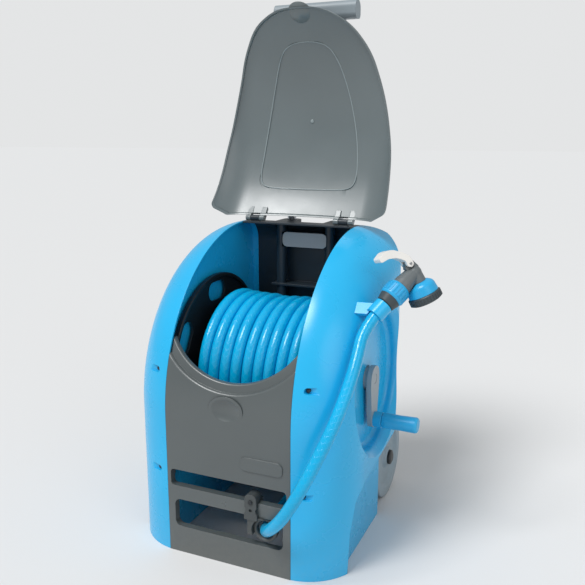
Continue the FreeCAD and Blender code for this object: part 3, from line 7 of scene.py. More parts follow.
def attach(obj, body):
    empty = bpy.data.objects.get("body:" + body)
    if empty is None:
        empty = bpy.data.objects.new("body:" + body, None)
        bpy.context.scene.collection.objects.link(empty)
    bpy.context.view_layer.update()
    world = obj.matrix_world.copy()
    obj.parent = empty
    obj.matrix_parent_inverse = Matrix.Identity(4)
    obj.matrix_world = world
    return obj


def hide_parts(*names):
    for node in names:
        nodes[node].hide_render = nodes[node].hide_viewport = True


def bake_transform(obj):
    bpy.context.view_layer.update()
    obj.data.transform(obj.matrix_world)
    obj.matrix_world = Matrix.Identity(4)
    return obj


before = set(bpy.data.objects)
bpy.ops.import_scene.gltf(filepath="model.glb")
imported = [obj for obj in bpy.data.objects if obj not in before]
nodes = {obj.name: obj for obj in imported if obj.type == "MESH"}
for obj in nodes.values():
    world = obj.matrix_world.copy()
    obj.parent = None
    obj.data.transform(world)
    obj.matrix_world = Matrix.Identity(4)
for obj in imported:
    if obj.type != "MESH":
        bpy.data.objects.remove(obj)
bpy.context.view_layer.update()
scene = bpy.context.scene
scene.view_settings.view_transform = "Standard"

# Studio: a pale floor that runs back to a pale sky, with a soft sun high on the left in front
# and a weak lamp on the right. The camera stands where the photograph was taken from.


def link(item):
    scene.collection.objects.link(item)
    return item


def wire(tree, output, target):
    tree.links.new(output, target)


def node(tree, kind, **settings):
    item = tree.nodes.new(kind)
    for key, value in settings.items():
        setattr(item, key, value)
    return item


def srgb(code):
    """A colour written as six hexadecimal digits, as linear light."""
    parts = [int(code[place:place + 2], 16) / 255 for place in (0, 2, 4)]
    linear = [part / 12.92 if part <= 0.04045 else ((part + 0.055) / 1.055) ** 2.4 for part in parts]
    return (*linear, 1.0)


floor_half = 30.0
floor_corners = [
    (-floor_half, -floor_half, 0), (floor_half, -floor_half, 0), (floor_half, floor_half, 0),
    (-floor_half, floor_half, 0)]
floor_mesh = bpy.data.meshes.new("floor")
floor_mesh.from_pydata(floor_corners, [], [(0, 1, 2, 3)])
floor = link(bpy.data.objects.new("floor", floor_mesh))
floor_paint = bpy.data.materials.new("pale_floor")
floor_paint.use_nodes = True
floor_shader = floor_paint.node_tree.nodes["Principled BSDF"]
floor_shader.inputs["Base Color"].default_value = (0.74, 0.74, 0.74, 1)
floor_shader.inputs["Roughness"].default_value = 1.0
floor_shader.inputs["Specular IOR Level"].default_value = 0.0
floor_mesh.materials.append(floor_paint)

world = bpy.data.worlds.new("studio_sky")
scene.world = world
world.use_nodes = True
sky = world.node_tree
sky.nodes.clear()
sky_out = node(sky, "ShaderNodeOutputWorld")
sky_light = node(sky, "ShaderNodeBackground")
sky_light.inputs["Color"].default_value = (0.95, 0.98, 1.0, 1)
sky_light.inputs["Strength"].default_value = 0.5
sky_seen = node(sky, "ShaderNodeBackground")
sky_seen.inputs["Color"].default_value = (0.775, 0.785, 0.79, 1)
sky_seen.inputs["Strength"].default_value = 1.0
sky_path = node(sky, "ShaderNodeLightPath")
sky_mix = node(sky, "ShaderNodeMixShader")
wire(sky, sky_path.outputs["Is Camera Ray"], sky_mix.inputs["Fac"])
wire(sky, sky_light.outputs["Background"], sky_mix.inputs[1])
wire(sky, sky_seen.outputs["Background"], sky_mix.inputs[2])
wire(sky, sky_mix.outputs["Shader"], sky_out.inputs["Surface"])

sun_way = Vector((0.26, 0.47, -0.84))
sun_light = bpy.data.lights.new("sun", "SUN")
sun_light.angle = math.radians(24)
sun_light.energy = 2.2
sun = link(bpy.data.objects.new("sun", sun_light))
sun.rotation_euler = sun_way.to_track_quat("-Z", "Y").to_euler()

fill_place = Vector((2.1, -1.3, 1.6))
fill_target = Vector((0, 0.15, 0.35))
fill_light = bpy.data.lights.new("fill_lamp", "AREA")
fill_light.shape = "DISK"
fill_light.size = 1.8
fill_light.energy = 9
fill_lamp = link(bpy.data.objects.new("fill_lamp", fill_light))
fill_lamp.location = fill_place
fill_lamp.rotation_euler = (fill_target - fill_place).to_track_quat("-Z", "Y").to_euler()

camera = bpy.data.cameras.new("camera")
camera.sensor_width = 36.0
camera.lens = 43.94
camera_stand = link(bpy.data.objects.new("camera", camera))
camera_place = Vector((0.4838, -0.8718, 0.6413))
camera_right = Vector((0.9156, 0.4021, 0.0)).normalized()
camera_forward = Vector((-0.3927, 0.8942, -0.2153)).normalized()
camera_up = camera_right.cross(camera_forward).normalized()
camera_turn = Matrix((camera_right, camera_up, -camera_forward)).transposed().to_4x4()
camera_stand.matrix_world = Matrix.Translation(camera_place) @ camera_turn
scene.camera = camera_stand

# Front panel: an injection-moulded grey panel, screwed between the two side shells.
# Its plastic has a satin gloss over the fine grain of an etched mould.


def group_sockets(name, inputs, outputs):
    """An empty shader node group with named sockets."""
    tree = bpy.data.node_groups.new(name, "ShaderNodeTree")
    for title, kind, value in inputs:
        socket = tree.interface.new_socket(title, in_out="INPUT", socket_type=kind)
        if value is not None:
            socket.default_value = value
    for title, kind in outputs:
        tree.interface.new_socket(title, in_out="OUTPUT", socket_type=kind)
    return tree, tree.nodes.new("NodeGroupInput"), tree.nodes.new("NodeGroupOutput")


# Mould grain: the fine even pebble that an etched mould leaves, with a slow change of gloss.
grain, grain_in, grain_out = group_sockets(
    "mould_grain",
    [("Scale", "NodeSocketFloat", 900.0), ("Depth", "NodeSocketFloat", 0.2), ("Gloss", "NodeSocketFloat", 0.4),
     ("Spread", "NodeSocketFloat", 0.08)],
    [("Roughness", "NodeSocketFloat"), ("Normal", "NodeSocketVector")])
place = node(grain, "ShaderNodeTexCoord")
pebble = node(grain, "ShaderNodeTexNoise")
pebble.inputs["Detail"].default_value = 3.0
slow = node(grain, "ShaderNodeTexNoise")
slow.inputs["Scale"].default_value = 14.0
slow.inputs["Detail"].default_value = 4.0
gloss_range = node(grain, "ShaderNodeMapRange")
gloss_range.inputs["From Min"].default_value = 0.3
gloss_range.inputs["From Max"].default_value = 0.7
less = node(grain, "ShaderNodeMath", operation="SUBTRACT")
more = node(grain, "ShaderNodeMath", operation="ADD")
bump = node(grain, "ShaderNodeBump")
bump.inputs["Distance"].default_value = 0.0004
soft_edge = node(grain, "ShaderNodeBevel", samples=6)
soft_edge.inputs["Radius"].default_value = 0.0011
wire(grain, soft_edge.outputs["Normal"], bump.inputs["Normal"])
wire(grain, place.outputs["Object"], pebble.inputs["Vector"])
wire(grain, place.outputs["Object"], slow.inputs["Vector"])
wire(grain, grain_in.outputs["Scale"], pebble.inputs["Scale"])
wire(grain, grain_in.outputs["Gloss"], less.inputs[0])
wire(grain, grain_in.outputs["Spread"], less.inputs[1])
wire(grain, grain_in.outputs["Gloss"], more.inputs[0])
wire(grain, grain_in.outputs["Spread"], more.inputs[1])
wire(grain, slow.outputs["Fac"], gloss_range.inputs["Value"])
wire(grain, less.outputs["Value"], gloss_range.inputs["To Min"])
wire(grain, more.outputs["Value"], gloss_range.inputs["To Max"])
wire(grain, grain_in.outputs["Depth"], bump.inputs["Strength"])
wire(grain, pebble.outputs["Fac"], bump.inputs["Height"])
wire(grain, gloss_range.outputs["Result"], grain_out.inputs["Roughness"])
wire(grain, bump.outputs["Normal"], grain_out.inputs["Normal"])

# Mould colour: a slow mottle of the colour, and garden dust that settles low down on the cart.
mottle, mottle_in, mottle_out = group_sockets(
    "mould_colour",
    [("Colour", "NodeSocketColor", None), ("Mottle", "NodeSocketFloat", 0.06),
     ("Dust", "NodeSocketFloat", 0.1)],
    [("Colour", "NodeSocketColor")])
place = node(mottle, "ShaderNodeTexCoord")
cloud = node(mottle, "ShaderNodeTexNoise")
cloud.inputs["Scale"].default_value = 9.0
cloud.inputs["Detail"].default_value = 5.0
shade = node(mottle, "ShaderNodeMapRange")
shade.inputs["From Min"].default_value = 0.3
shade.inputs["From Max"].default_value = 0.7
dark = node(mottle, "ShaderNodeMath", operation="SUBTRACT")
dark.inputs[0].default_value = 1.0
light_side = node(mottle, "ShaderNodeMath", operation="ADD")
light_side.inputs[0].default_value = 1.0
tone = node(mottle, "ShaderNodeVectorMath", operation="SCALE")
height = node(mottle, "ShaderNodeSeparateXYZ")
low = node(mottle, "ShaderNodeMapRange")
low.inputs["From Min"].default_value = 0.10
low.inputs["From Max"].default_value = 0.0
speck = node(mottle, "ShaderNodeTexNoise")
speck.inputs["Scale"].default_value = 160.0
speck.inputs["Detail"].default_value = 6.0
settle = node(mottle, "ShaderNodeMath", operation="MULTIPLY")
amount = node(mottle, "ShaderNodeMath", operation="MULTIPLY")
dusty = node(mottle, "ShaderNodeMix", data_type="RGBA")
dusty.inputs["B"].default_value = (0.34, 0.30, 0.24, 1)
wire(mottle, place.outputs["Object"], cloud.inputs["Vector"])
wire(mottle, place.outputs["Object"], speck.inputs["Vector"])
wire(mottle, place.outputs["Object"], height.inputs["Vector"])
wire(mottle, cloud.outputs["Fac"], shade.inputs["Value"])
wire(mottle, mottle_in.outputs["Mottle"], dark.inputs[1])
wire(mottle, mottle_in.outputs["Mottle"], light_side.inputs[1])
wire(mottle, dark.outputs["Value"], shade.inputs["To Min"])
wire(mottle, light_side.outputs["Value"], shade.inputs["To Max"])
wire(mottle, mottle_in.outputs["Colour"], tone.inputs[0])
wire(mottle, shade.outputs["Result"], tone.inputs["Scale"])
wire(mottle, height.outputs["Z"], low.inputs["Value"])
wire(mottle, low.outputs["Result"], settle.inputs[0])
wire(mottle, speck.outputs["Fac"], settle.inputs[1])
wire(mottle, settle.outputs["Value"], amount.inputs[0])
wire(mottle, mottle_in.outputs["Dust"], amount.inputs[1])
wire(mottle, amount.outputs["Value"], dusty.inputs["Factor"])
wire(mottle, tone.outputs["Vector"], dusty.inputs["A"])
wire(mottle, dusty.outputs["Result"], mottle_out.inputs["Colour"])


def moulded(name, colour, gloss, grain_scale, grain_depth, spread=0.07, mottling=0.05, dust=0.15, metal=0.0,
            shine=0.5):
    """A moulded plastic or a plain metal with its grain and its slight changes of colour."""
    paint = bpy.data.materials.new(name)
    paint.use_nodes = True
    tree = paint.node_tree
    shader = tree.nodes["Principled BSDF"]
    surface = node(tree, "ShaderNodeGroup", node_tree=grain)
    surface.inputs["Scale"].default_value = grain_scale
    surface.inputs["Depth"].default_value = grain_depth
    surface.inputs["Gloss"].default_value = gloss
    surface.inputs["Spread"].default_value = spread
    tint = node(tree, "ShaderNodeGroup", node_tree=mottle)
    tint.inputs["Colour"].default_value = colour
    tint.inputs["Mottle"].default_value = mottling
    tint.inputs["Dust"].default_value = dust
    wire(tree, tint.outputs["Colour"], shader.inputs["Base Color"])
    wire(tree, surface.outputs["Roughness"], shader.inputs["Roughness"])
    wire(tree, surface.outputs["Normal"], shader.inputs["Normal"])
    shader.inputs["Metallic"].default_value = metal
    shader.inputs["Specular IOR Level"].default_value = shine
    return paint


def paint_nodes(paint, *names):
    """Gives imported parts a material."""
    for name in names:
        nodes[name].data.materials.clear()
        nodes[name].data.materials.append(paint)


panel_grey = moulded(
    "panel_grey", srgb("4F5657"), 0.32, grain_scale=1300, grain_depth=0.2, spread=0.05, shine=0.9)
paint_nodes(panel_grey, "front_panel")

# Side shells: two large blue mouldings, mirror images, polished outside with a satin sheen.
# The cheeks inside them and the nozzle's clip are moulded in the same blue.
# Dark screws hold the shells to the front panel, and bare steel pins carry what turns on them.
shell_blue = moulded(
    "shell_blue", srgb("1CB2E8"), 0.27, grain_scale=700, grain_depth=0.05, spread=0.04, mottling=0.03,
    shine=0.6)
paint_nodes(shell_blue, "left_shell", "right_shell", "left_cheek", "right_cheek", "nozzle_clip")
screw_dark = moulded("screw_dark", srgb("3A3D40"), 0.36, grain_scale=500, grain_depth=0.08, metal=0.6)
paint_nodes(screw_dark, "shell_screws", "inlet_screws", "guide_screw")
bare_steel = moulded("bare_steel", srgb("9A9C9E"), 0.32, grain_scale=500, grain_depth=0.08, metal=1.0)
paint_nodes(bare_steel, "hinge_pins", "trigger_pin", "grip_spindle", "wheel_axle")

# Rear panel: a black moulding that closes the back, with the hinge deck and the handle's collars.
# A small grey cover hides the handle's latch; its grey is painted lighter than its own, painted light that makes
# up for the shade it sits in.
rear_black = moulded("rear_black", srgb("202B33"), 0.42, grain_scale=1100, grain_depth=0.25)
paint_nodes(rear_black, "rear_panel")
# Painted light: the cover's base grey is lighter than its real grey, to make up for its shade.
latch_grey = moulded("latch_grey", srgb("A9AEB0"), 0.45, grain_scale=1100, grain_depth=0.25)
paint_nodes(latch_grey, "latch_cover")

# Reel: black flanges and a drum core, moulded in plain black and screwed together.
# The bushes and the water axle are a harder bearing plastic.
reel_black = moulded("reel_black", srgb("171B1E"), 0.38, grain_scale=1000, grain_depth=0.2)
paint_nodes(reel_black, "left_flange", "right_flange", "drum_core")
bearing_black = moulded("bearing_black", srgb("202224"), 0.35, grain_scale=800, grain_depth=0.1)
paint_nodes(bearing_black, "left_bush", "right_bush", "water_axle", "inlet_swivel", "outlet_elbow", "axle_caps",
            "handle_stops")
seal_black = moulded("seal_black", srgb("141414"), 0.6, grain_scale=2000, grain_depth=0.3)
paint_nodes(seal_black, "inlet_seals")

# Wound hose: blue soft PVC hose, extruded over a braid and wound on the drum in three layers.
# One unbroken tube runs from the drum to the last turn on the right.
hose_radius = 0.009
reel_axis = Vector((0, 0.158, 0.267))


def smooth_line(name, points, steps):
    """Points along the smooth curve that a route of control points gives."""
    data = bpy.data.curves.new(name, "CURVE")
    data.dimensions = "3D"
    data.resolution_u = steps
    spline = data.splines.new("NURBS")
    spline.points.add(len(points) - 1)
    for spot, point in zip(spline.points, points):
        spot.co = (*point, 1.0)
    spline.order_u = 3
    spline.use_endpoint_u = True
    carrier = bpy.data.objects.new(name, data)
    mesh = bpy.data.meshes.new_from_object(carrier)
    line = [vertex.co.copy() for vertex in mesh.vertices]
    bpy.data.objects.remove(carrier)
    bpy.data.curves.remove(data)
    bpy.data.meshes.remove(mesh)
    return line


def hose_tube(name, line, radius, sides, paint):
    """A closed tube round a line, with a UV map that runs round it and along it in metres."""
    form = bmesh.new()
    around = form.loops.layers.uv.new("hose")
    ways = []
    for index in range(len(line)):
        before = line[max(index - 1, 0)]
        after = line[min(index + 1, len(line) - 1)]
        ways.append((after - before).normalized())
    side = ways[0].orthogonal().normalized()
    rings = []
    travel = [0.0]
    for index, (point, way) in enumerate(zip(line, ways)):
        side = (side - way * side.dot(way)).normalized()
        other = way.cross(side)
        rings.append([
            form.verts.new(point + (side * math.cos(turn) + other * math.sin(turn)) * radius)
            for turn in (2 * math.pi * step / sides for step in range(sides))])
        if index:
            travel.append(travel[-1] + (point - line[index - 1]).length)
    for index in range(len(rings) - 1):
        for step in range(sides):
            corners = [(index, step), (index, step + 1), (index + 1, step + 1), (index + 1, step)]
            face = form.faces.new([rings[ring][spot % sides] for ring, spot in corners])
            face.smooth = True
            for loop, (ring, spot) in zip(face.loops, corners):
                loop[around].uv = (spot / sides, travel[ring])
    form.faces.new(list(reversed(rings[0])))
    form.faces.new(rings[-1])
    bmesh.ops.recalc_face_normals(form, faces=form.faces)
    mesh = bpy.data.meshes.new(name)
    form.to_mesh(mesh)
    form.free()
    mesh.materials.append(paint)
    return link(bpy.data.objects.new(name, mesh))


braid_pitch = 0.010
braid_threads = 5
hose_blue = bpy.data.materials.new("hose_blue")
hose_blue.use_nodes = True
hose_tree = hose_blue.node_tree
hose_shader = hose_tree.nodes["Principled BSDF"]
hose_map = node(hose_tree, "ShaderNodeUVMap", uv_map="hose")
hose_split = node(hose_tree, "ShaderNodeSeparateXYZ")
wire(hose_tree, hose_map.outputs["UV"], hose_split.inputs["Vector"])


def braid(direction):
    """One set of the braid's threads, which wind round the hose one way."""
    along = node(hose_tree, "ShaderNodeMath", operation="MULTIPLY")
    along.inputs[1].default_value = 2 * math.pi / braid_pitch * direction
    round_it = node(hose_tree, "ShaderNodeMath", operation="MULTIPLY")
    round_it.inputs[1].default_value = 2 * math.pi * braid_threads
    total = node(hose_tree, "ShaderNodeMath", operation="ADD")
    wave = node(hose_tree, "ShaderNodeMath", operation="SINE")
    thread = node(hose_tree, "ShaderNodeMapRange", interpolation_type="SMOOTHSTEP")
    thread.inputs["From Min"].default_value = 0.72
    thread.inputs["From Max"].default_value = 0.98
    wire(hose_tree, hose_split.outputs["Y"], along.inputs[0])
    wire(hose_tree, hose_split.outputs["X"], round_it.inputs[0])
    wire(hose_tree, along.outputs["Value"], total.inputs[0])
    wire(hose_tree, round_it.outputs["Value"], total.inputs[1])
    wire(hose_tree, total.outputs["Value"], wave.inputs[0])
    wire(hose_tree, wave.outputs["Value"], thread.inputs["Value"])
    return thread.outputs["Result"]


threads = node(hose_tree, "ShaderNodeMath", operation="MAXIMUM")
wire(hose_tree, braid(1), threads.inputs[0])
wire(hose_tree, braid(-1), threads.inputs[1])
hose_mix = node(hose_tree, "ShaderNodeMix", data_type="RGBA")
hose_mix.inputs["A"].default_value = srgb("00ACE0")
hose_mix.inputs["B"].default_value = srgb("34C0EC")
hose_faint = node(hose_tree, "ShaderNodeMath", operation="MULTIPLY")
hose_faint.inputs[1].default_value = 0.16
wire(hose_tree, threads.outputs["Value"], hose_faint.inputs[0])
wire(hose_tree, hose_faint.outputs["Value"], hose_mix.inputs["Factor"])
hose_tint = node(hose_tree, "ShaderNodeGroup", node_tree=mottle)
hose_tint.inputs["Mottle"].default_value = 0.08
hose_tint.inputs["Dust"].default_value = 0.05
wire(hose_tree, hose_mix.outputs["Result"], hose_tint.inputs["Colour"])
wire(hose_tree, hose_tint.outputs["Colour"], hose_shader.inputs["Base Color"])
hose_surface = node(hose_tree, "ShaderNodeGroup", node_tree=grain)
hose_surface.inputs["Scale"].default_value = 300.0
hose_surface.inputs["Depth"].default_value = 0.16
hose_surface.inputs["Gloss"].default_value = 0.2
hose_surface.inputs["Spread"].default_value = 0.06
wire(hose_tree, hose_surface.outputs["Roughness"], hose_shader.inputs["Roughness"])
hose_weave = node(hose_tree, "ShaderNodeBump")
hose_weave.inputs["Strength"].default_value = 0.5
hose_weave.inputs["Distance"].default_value = 0.0004
wire(hose_tree, threads.outputs["Value"], hose_weave.inputs["Height"])
wire(hose_tree, hose_surface.outputs["Normal"], hose_weave.inputs["Normal"])
wire(hose_tree, hose_weave.outputs["Normal"], hose_shader.inputs["Normal"])
hose_shader.inputs["Specular IOR Level"].default_value = 0.35
hose_shader.inputs["Coat Weight"].default_value = 0.25
hose_shader.inputs["Coat Roughness"].default_value = 0.08

turns = 9
turn_pitch = 0.0186
spots_per_turn = 16
leave_angle = math.radians(-51.21)
climb_turns = 0.4
leave_turns = 0.25
leave_shift = 0.006
slack_start = 0.6
slack_end = 0.8
slow_slack = 0.0022
slow_beat = 0.62
quick_slack = 0.0009
quick_beat = 2.3
# The curve runs inside its control points by this share of the radius.
cut_in = (6 + 2 * math.cos(2 * math.pi / spots_per_turn)) / 8
# Each layer's radius, the place of its first turn and the way that it runs.
drum_layers = [(0.0752, -0.0785, 1), (0.0932, 0.0889, -1), (0.1112, -0.0785, 1)]
winding_route = []
for layer, (radius, start, way) in enumerate(drum_layers):
    last = layer == len(drum_layers) - 1
    for step in range(turns * spots_per_turn):
        turn = step / spots_per_turn
        angle = leave_angle + 2 * math.pi * (turns * (len(drum_layers) - layer) - turn)
        x = start + way * turn * turn_pitch
        here = radius
        if layer:
            below = drum_layers[layer - 1][0]
            here = below + (radius - below) * min(1.0, turn / climb_turns)
        if last:
            x += leave_shift * max(0.0, (turn - turns + leave_turns) / leave_turns)
            slack = min(1.0, turn / slack_start) * min(1.0, (turns - turn) / slack_end)
            wander = slow_slack * math.cos(turn * slow_beat) + quick_slack * math.sin(turn * quick_beat)
            here += slack * wander
        spot = Vector((x, here * math.cos(angle) / cut_in, here * math.sin(angle) / cut_in))
        winding_route.append(reel_axis + spot)
leave_point = Vector((0.0949, 0.22766, 0.18032))
winding_end = Vector((0.09231, 0.21378, 0.16917))
winding_route += [leave_point, winding_end]
winding_line = smooth_line("winding_route", winding_route, steps=3)
winding = hose_tube("wound_hose", winding_line, hose_radius, sides=18, paint=hose_blue)
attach(winding, "reel")
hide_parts("hose_winding", "hose_inner_layers")

# Crank: a grey arm screwed to the drive hub, with a blue grip that turns on its spindle.
# A blue collar, pressed on the same spindle, keeps the grip off the arm.
crank_grey = moulded("crank_grey", srgb("98A3A9"), 0.42, grain_scale=1000, grain_depth=0.25)
paint_nodes(crank_grey, "crank_arm", "crank_screw", "drive_hub")
grip_blue = moulded("grip_blue", srgb("2CACE0"), 0.36, grain_scale=900, grain_depth=0.15)
paint_nodes(grip_blue, "crank_grip", "grip_collar")

# Wheels: grey one-piece plastic wheels on a steel axle, held by push-on caps.
# Cross ribs are moulded on the tread, evenly round it.
wheel_grey = moulded("wheel_grey", srgb("93A4AE"), 0.5, grain_scale=1000, grain_depth=0.3, dust=0.3)
paint_nodes(wheel_grey, "left_wheel", "right_wheel")
rib_ring = bpy.data.node_groups.new("rib_ring", "GeometryNodeTree")
rib_ring.interface.new_socket("Geometry", in_out="OUTPUT", socket_type="NodeSocketGeometry")
rib_ring.interface.new_socket("Geometry", in_out="INPUT", socket_type="NodeSocketGeometry")
for title, kind in (("Count", "Int"), ("Radius", "Float"), ("Size", "Vector"), ("Paint", "Material")):
    rib_ring.interface.new_socket(title, in_out="INPUT", socket_type="NodeSocket" + kind)
rib_in = node(rib_ring, "NodeGroupInput")
rib_out = node(rib_ring, "NodeGroupOutput")
rib_spots = node(rib_ring, "GeometryNodeMeshCircle")
rib_bar = node(rib_ring, "GeometryNodeMeshCube")
rib_place = node(rib_ring, "GeometryNodeInputPosition")
rib_turn = node(rib_ring, "FunctionNodeAlignRotationToVector", axis="X")
rib_put = node(rib_ring, "GeometryNodeInstanceOnPoints")
rib_real = node(rib_ring, "GeometryNodeRealizeInstances")
rib_paint = node(rib_ring, "GeometryNodeSetMaterial")
wire(rib_ring, rib_in.outputs["Count"], rib_spots.inputs["Vertices"])
wire(rib_ring, rib_in.outputs["Radius"], rib_spots.inputs["Radius"])
wire(rib_ring, rib_in.outputs["Size"], rib_bar.inputs["Size"])
wire(rib_ring, rib_place.outputs["Position"], rib_turn.inputs["Vector"])
wire(rib_ring, rib_spots.outputs["Mesh"], rib_put.inputs["Points"])
wire(rib_ring, rib_bar.outputs["Mesh"], rib_put.inputs["Instance"])
wire(rib_ring, rib_turn.outputs["Rotation"], rib_put.inputs["Rotation"])
wire(rib_ring, rib_put.outputs["Instances"], rib_real.inputs["Geometry"])
wire(rib_ring, rib_real.outputs["Geometry"], rib_paint.inputs["Geometry"])
wire(rib_ring, rib_in.outputs["Paint"], rib_paint.inputs["Material"])
wire(rib_ring, rib_paint.outputs["Geometry"], rib_out.inputs["Geometry"])


def grown(name, base, tree, settings):
    """The plain mesh that a node tree makes on a base mesh with the given named inputs."""
    carrier = link(bpy.data.objects.new(name + "_carrier", base))
    step = carrier.modifiers.new("grow", "NODES")
    step.node_group = tree
    for item in tree.interface.items_tree:
        if item.item_type == "SOCKET" and item.in_out == "INPUT" and item.name in settings:
            step[item.identifier] = settings[item.name]
    bpy.context.view_layer.update()
    seen = carrier.evaluated_get(bpy.context.evaluated_depsgraph_get())
    mesh = bpy.data.meshes.new_from_object(seen)
    bpy.data.objects.remove(carrier)
    return mesh


def axis_frame(centre, way):
    """A turn and a shift that take the Z axis to an axis in the cart."""
    return Matrix.Translation(centre) @ Vector(way).to_track_quat("Z", "Y").to_matrix().to_4x4()


def ribs_round(name, centre, way, count, radius, bar_size, paint, body):
    """Small bars spaced evenly round an axis, as one plain mesh."""
    mesh = grown(name, bpy.data.meshes.new(name + "_base"), rib_ring,
                 {"Count": count, "Radius": radius, "Size": bar_size, "Paint": paint})
    mesh.transform(axis_frame(centre, way))
    item = link(bpy.data.objects.new(name, mesh))
    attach(item, body)


wheel_x, wheel_y, wheel_z = 0.148, 0.297, 0.072
tread_ribs = 48
tread_radius = 0.0714
tread_bar = (0.0018, 0.0042, 0.0205)
for side, sign in (("left", -1), ("right", 1)):
    ribs_round(side + "_tread_ribs", (sign * wheel_x, wheel_y, wheel_z), (1, 0, 0), tread_ribs, tread_radius,
               bar_size=tread_bar, paint=wheel_grey, body=side + "_wheel")

# Lid: a thin grey shell, polished in the mould, with a shallow panel sunk in its underside.
# A moulded bead runs round the panel, and the mould's gate left a small button in its middle; both are painted a
# lighter grey than the lid as a painted highlight.
lid_grey = moulded("lid_grey", srgb("656F71"), 0.33, grain_scale=600, grain_depth=0.05, spread=0.05, shine=0.9)
paint_nodes(lid_grey, "lid")
# Bead and gate: a lighter grey that stands in for light catching them, a painted highlight.
lid_polish = moulded("lid_polish", srgb("8E999B"), 0.22, grain_scale=600, grain_depth=0.03, spread=0.05)
lid_hinge = Vector((0, 0.255, 0.499))
lid_open = math.radians(127)
arc_y, arc_z = 0.255, 0.223
crown_radius = 0.897
crown_sink = 0.616
chord_turn = math.radians(41.29)
chord_middle = 0.1782


def under_lid(x, along):
    """A point on the underside of the open lid, at a distance along its chord from the hinge."""
    radius = math.sqrt(crown_radius ** 2 - x ** 2) - crown_sink
    turn = chord_turn + math.asin((along - chord_middle) / radius)
    shut = Vector((x, arc_y - radius * math.sin(turn), arc_z + radius * math.cos(turn)))
    return lid_hinge + Matrix.Rotation(-lid_open, 3, "X") @ (shut - lid_hinge)


bead_along = bpy.data.node_groups.new("bead_along", "GeometryNodeTree")
bead_along.interface.new_socket("Geometry", in_out="OUTPUT", socket_type="NodeSocketGeometry")
bead_along.interface.new_socket("Geometry", in_out="INPUT", socket_type="NodeSocketGeometry")
bead_along.interface.new_socket("Radius", in_out="INPUT", socket_type="NodeSocketFloat")
bead_along.interface.new_socket("Paint", in_out="INPUT", socket_type="NodeSocketMaterial")
bead_in = node(bead_along, "NodeGroupInput")
bead_out = node(bead_along, "NodeGroupOutput")
bead_line = node(bead_along, "GeometryNodeMeshToCurve")
bead_ring = node(bead_along, "GeometryNodeCurvePrimitiveCircle")
bead_ring.inputs["Resolution"].default_value = 8
bead_tube = node(bead_along, "GeometryNodeCurveToMesh")
bead_paint = node(bead_along, "GeometryNodeSetMaterial")
wire(bead_along, bead_in.outputs["Geometry"], bead_line.inputs["Mesh"])
wire(bead_along, bead_in.outputs["Radius"], bead_ring.inputs["Radius"])
wire(bead_along, bead_line.outputs["Curve"], bead_tube.inputs["Curve"])
wire(bead_along, bead_ring.outputs["Curve"], bead_tube.inputs["Profile Curve"])
wire(bead_along, bead_tube.outputs["Mesh"], bead_paint.inputs["Geometry"])
wire(bead_along, bead_in.outputs["Paint"], bead_paint.inputs["Material"])
wire(bead_along, bead_paint.outputs["Geometry"], bead_out.inputs["Geometry"])

corner_cuts = 4
corner_reach = 0.016
bead_radius = 0.0011
gate_radius = 0.0032
gate_flat = 0.35
gate_along = 0.157
inset_right = [(0.093, 0.043), (0.085, 0.130), (0.070, 0.205), (0.050, 0.268), (0.026, 0.287)]
inset_loop = inset_right + [(-x, along) for x, along in reversed(inset_right)]
for cutting in range(corner_cuts):
    nearer = []
    for (x, along), (next_x, next_along) in zip(inset_loop, inset_loop[1:] + inset_loop[:1]):
        share = min(0.25, corner_reach / math.hypot(next_x - x, next_along - along))
        nearer.append((x + (next_x - x) * share, along + (next_along - along) * share))
        nearer.append((next_x - (next_x - x) * share, next_along - (next_along - along) * share))
    inset_loop = nearer
bead_base = bpy.data.meshes.new("lid_bead_base")
bead_base.from_pydata(
    [under_lid(x, along) for x, along in inset_loop],
    [(spot, (spot + 1) % len(inset_loop)) for spot in range(len(inset_loop))], [])
bead_mesh = grown("lid_bead", bead_base, bead_along, {"Radius": bead_radius, "Paint": lid_polish})
lid_bead = link(bpy.data.objects.new("lid_bead", bead_mesh))
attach(lid_bead, "lid")
gate_form = bmesh.new()
bmesh.ops.create_uvsphere(gate_form, u_segments=20, v_segments=10, radius=gate_radius)
gate_mesh = bpy.data.meshes.new("lid_gate")
gate_form.to_mesh(gate_mesh)
gate_form.free()
gate_mesh.transform(Matrix.Translation(under_lid(0.0, gate_along)) @ Matrix.Diagonal((1, gate_flat, 1, 1)))
gate_mesh.materials.append(lid_polish)
lid_gate = link(bpy.data.objects.new("lid_gate", gate_mesh))
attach(lid_gate, "lid")

# Pull-out handle: two anodised tubes that slide in the rear panel's collars.
# A grey plastic grip bar is pressed on their upper ends.
tube_metal = moulded("tube_metal", srgb("B9BCC0"), 0.28, grain_scale=1500, grain_depth=0.05, metal=1.0)
paint_nodes(tube_metal, "handle_left_tube", "handle_right_tube")
handle_grey = moulded("handle_grey", srgb("8C979D"), 0.45, grain_scale=1000, grain_depth=0.25)
paint_nodes(handle_grey, "handle_grip")

# Hose guide: a dark grey plastic slider that runs along the front panel's rail.
# A keeper behind the rail is screwed to it, and the hose passes through the eye at its foot.
guide_grey = moulded("guide_grey", srgb("454A4B"), 0.42, grain_scale=1000, grain_depth=0.25)
paint_nodes(guide_grey, "guide_slider", "guide_keeper", "guide_eye")

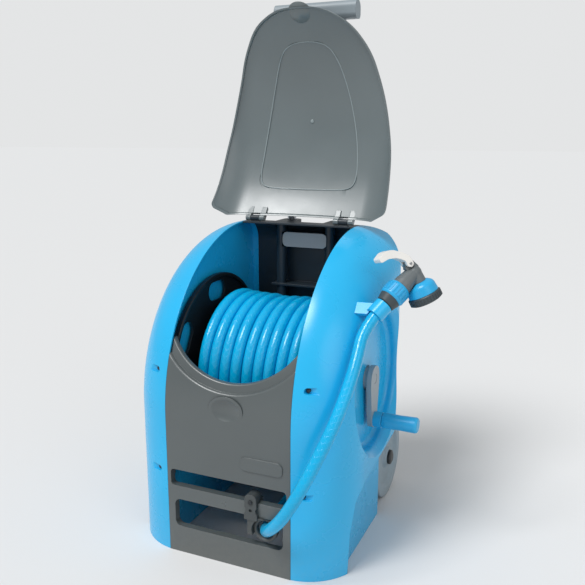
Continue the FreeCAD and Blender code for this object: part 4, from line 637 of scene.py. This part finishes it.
# Free hose: the same blue hose, off the drum. One length runs from the drum to the guide's eye,
# the next from the eye round the front of the shell and up through the clip into the nozzle.
eye_point = (0.062, -0.008, 0.070)
lead_route = [
    (0.09225, 0.21347, 0.16892), (0.08641, 0.18215, 0.14375), (0.079, 0.1495, 0.1176), (0.0695, 0.1169, 0.0929),
    (0.056, 0.080, 0.069), (0.0486, 0.0475, 0.0577), (0.0515, 0.0175, 0.0583), eye_point]
tail_route = [
    eye_point, (0.07094, -0.02971, 0.07996), (0.0856, -0.047, 0.0945), (0.1005, -0.0565, 0.1105),
    (0.1156, -0.0608, 0.131), (0.1296, -0.0595, 0.155), (0.142, -0.052, 0.181), (0.1535, -0.039, 0.210),
    (0.164, -0.0215, 0.239), (0.172, -0.003, 0.268), (0.178, 0.015, 0.298), (0.182, 0.037, 0.331),
    (0.18141, 0.07072, 0.37426), (0.20446, 0.10062, 0.4052)]
lead_line = smooth_line("lead_route", lead_route, steps=16)
lead = hose_tube("hose_from_drum", lead_line, hose_radius, sides=24, paint=hose_blue)
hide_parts("hose_lead")
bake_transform(lead)
tail_line = smooth_line("tail_route", tail_route, steps=12)
tail = hose_tube("hose_to_nozzle", tail_line, hose_radius, sides=24, paint=hose_blue)
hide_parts("hose_tail")
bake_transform(tail)

# Spray nozzle: a grey plastic body with a blue collar and a blue head, pushed on the hose's connector.
# The dark dial turns on the head, and the white trigger swings on a steel pin.
nozzle_grey = moulded("nozzle_grey", srgb("666C6E"), 0.42, grain_scale=1000, grain_depth=0.25)
paint_nodes(nozzle_grey, "nozzle_body")
nozzle_dark = moulded("nozzle_dark", srgb("3A4347"), 0.45, grain_scale=1000, grain_depth=0.3)
paint_nodes(nozzle_dark, "hose_connector", "nozzle_dial")
nozzle_blue = moulded("nozzle_blue", srgb("25A6DC"), 0.3, grain_scale=900, grain_depth=0.1)
paint_nodes(nozzle_blue, "nozzle_collar", "nozzle_head")
elbow = Vector((0.233836, 0.138737, 0.444622))
spray_way = Vector((0.429077, 0.121535, -0.895054))
grip_way = (0.4723, 0.6127, 0.6340)
knurl_place = elbow + spray_way * 0.0405
knurl_bar = (0.0016, 0.0026, 0.0086)
face_place = elbow + spray_way * 0.0451
spray_hole = (0.0016, 0.0016, 0.0008)
collar_place = (0.214, 0.113, 0.418)
collar_bar = (0.0014, 0.0024, 0.015)
ribs_round("dial_knurl", knurl_place, spray_way, count=34, radius=0.0243, bar_size=knurl_bar, paint=nozzle_dark,
           body="dial")
for ring, (count, radius) in enumerate(((7, 0.0055), (12, 0.0105), (18, 0.0155))):
    ribs_round(f"spray_holes_{ring}", face_place, spray_way, count, radius, bar_size=spray_hole, paint=screw_dark,
               body="dial")
ribs_round("collar_ribs", collar_place, grip_way, count=22, radius=0.0179, bar_size=collar_bar, paint=nozzle_blue,
           body="cart")
trigger_white = moulded("trigger_white", srgb("F0EDE8"), 0.3, grain_scale=900, grain_depth=0.1)
paint_nodes(trigger_white, "nozzle_trigger")
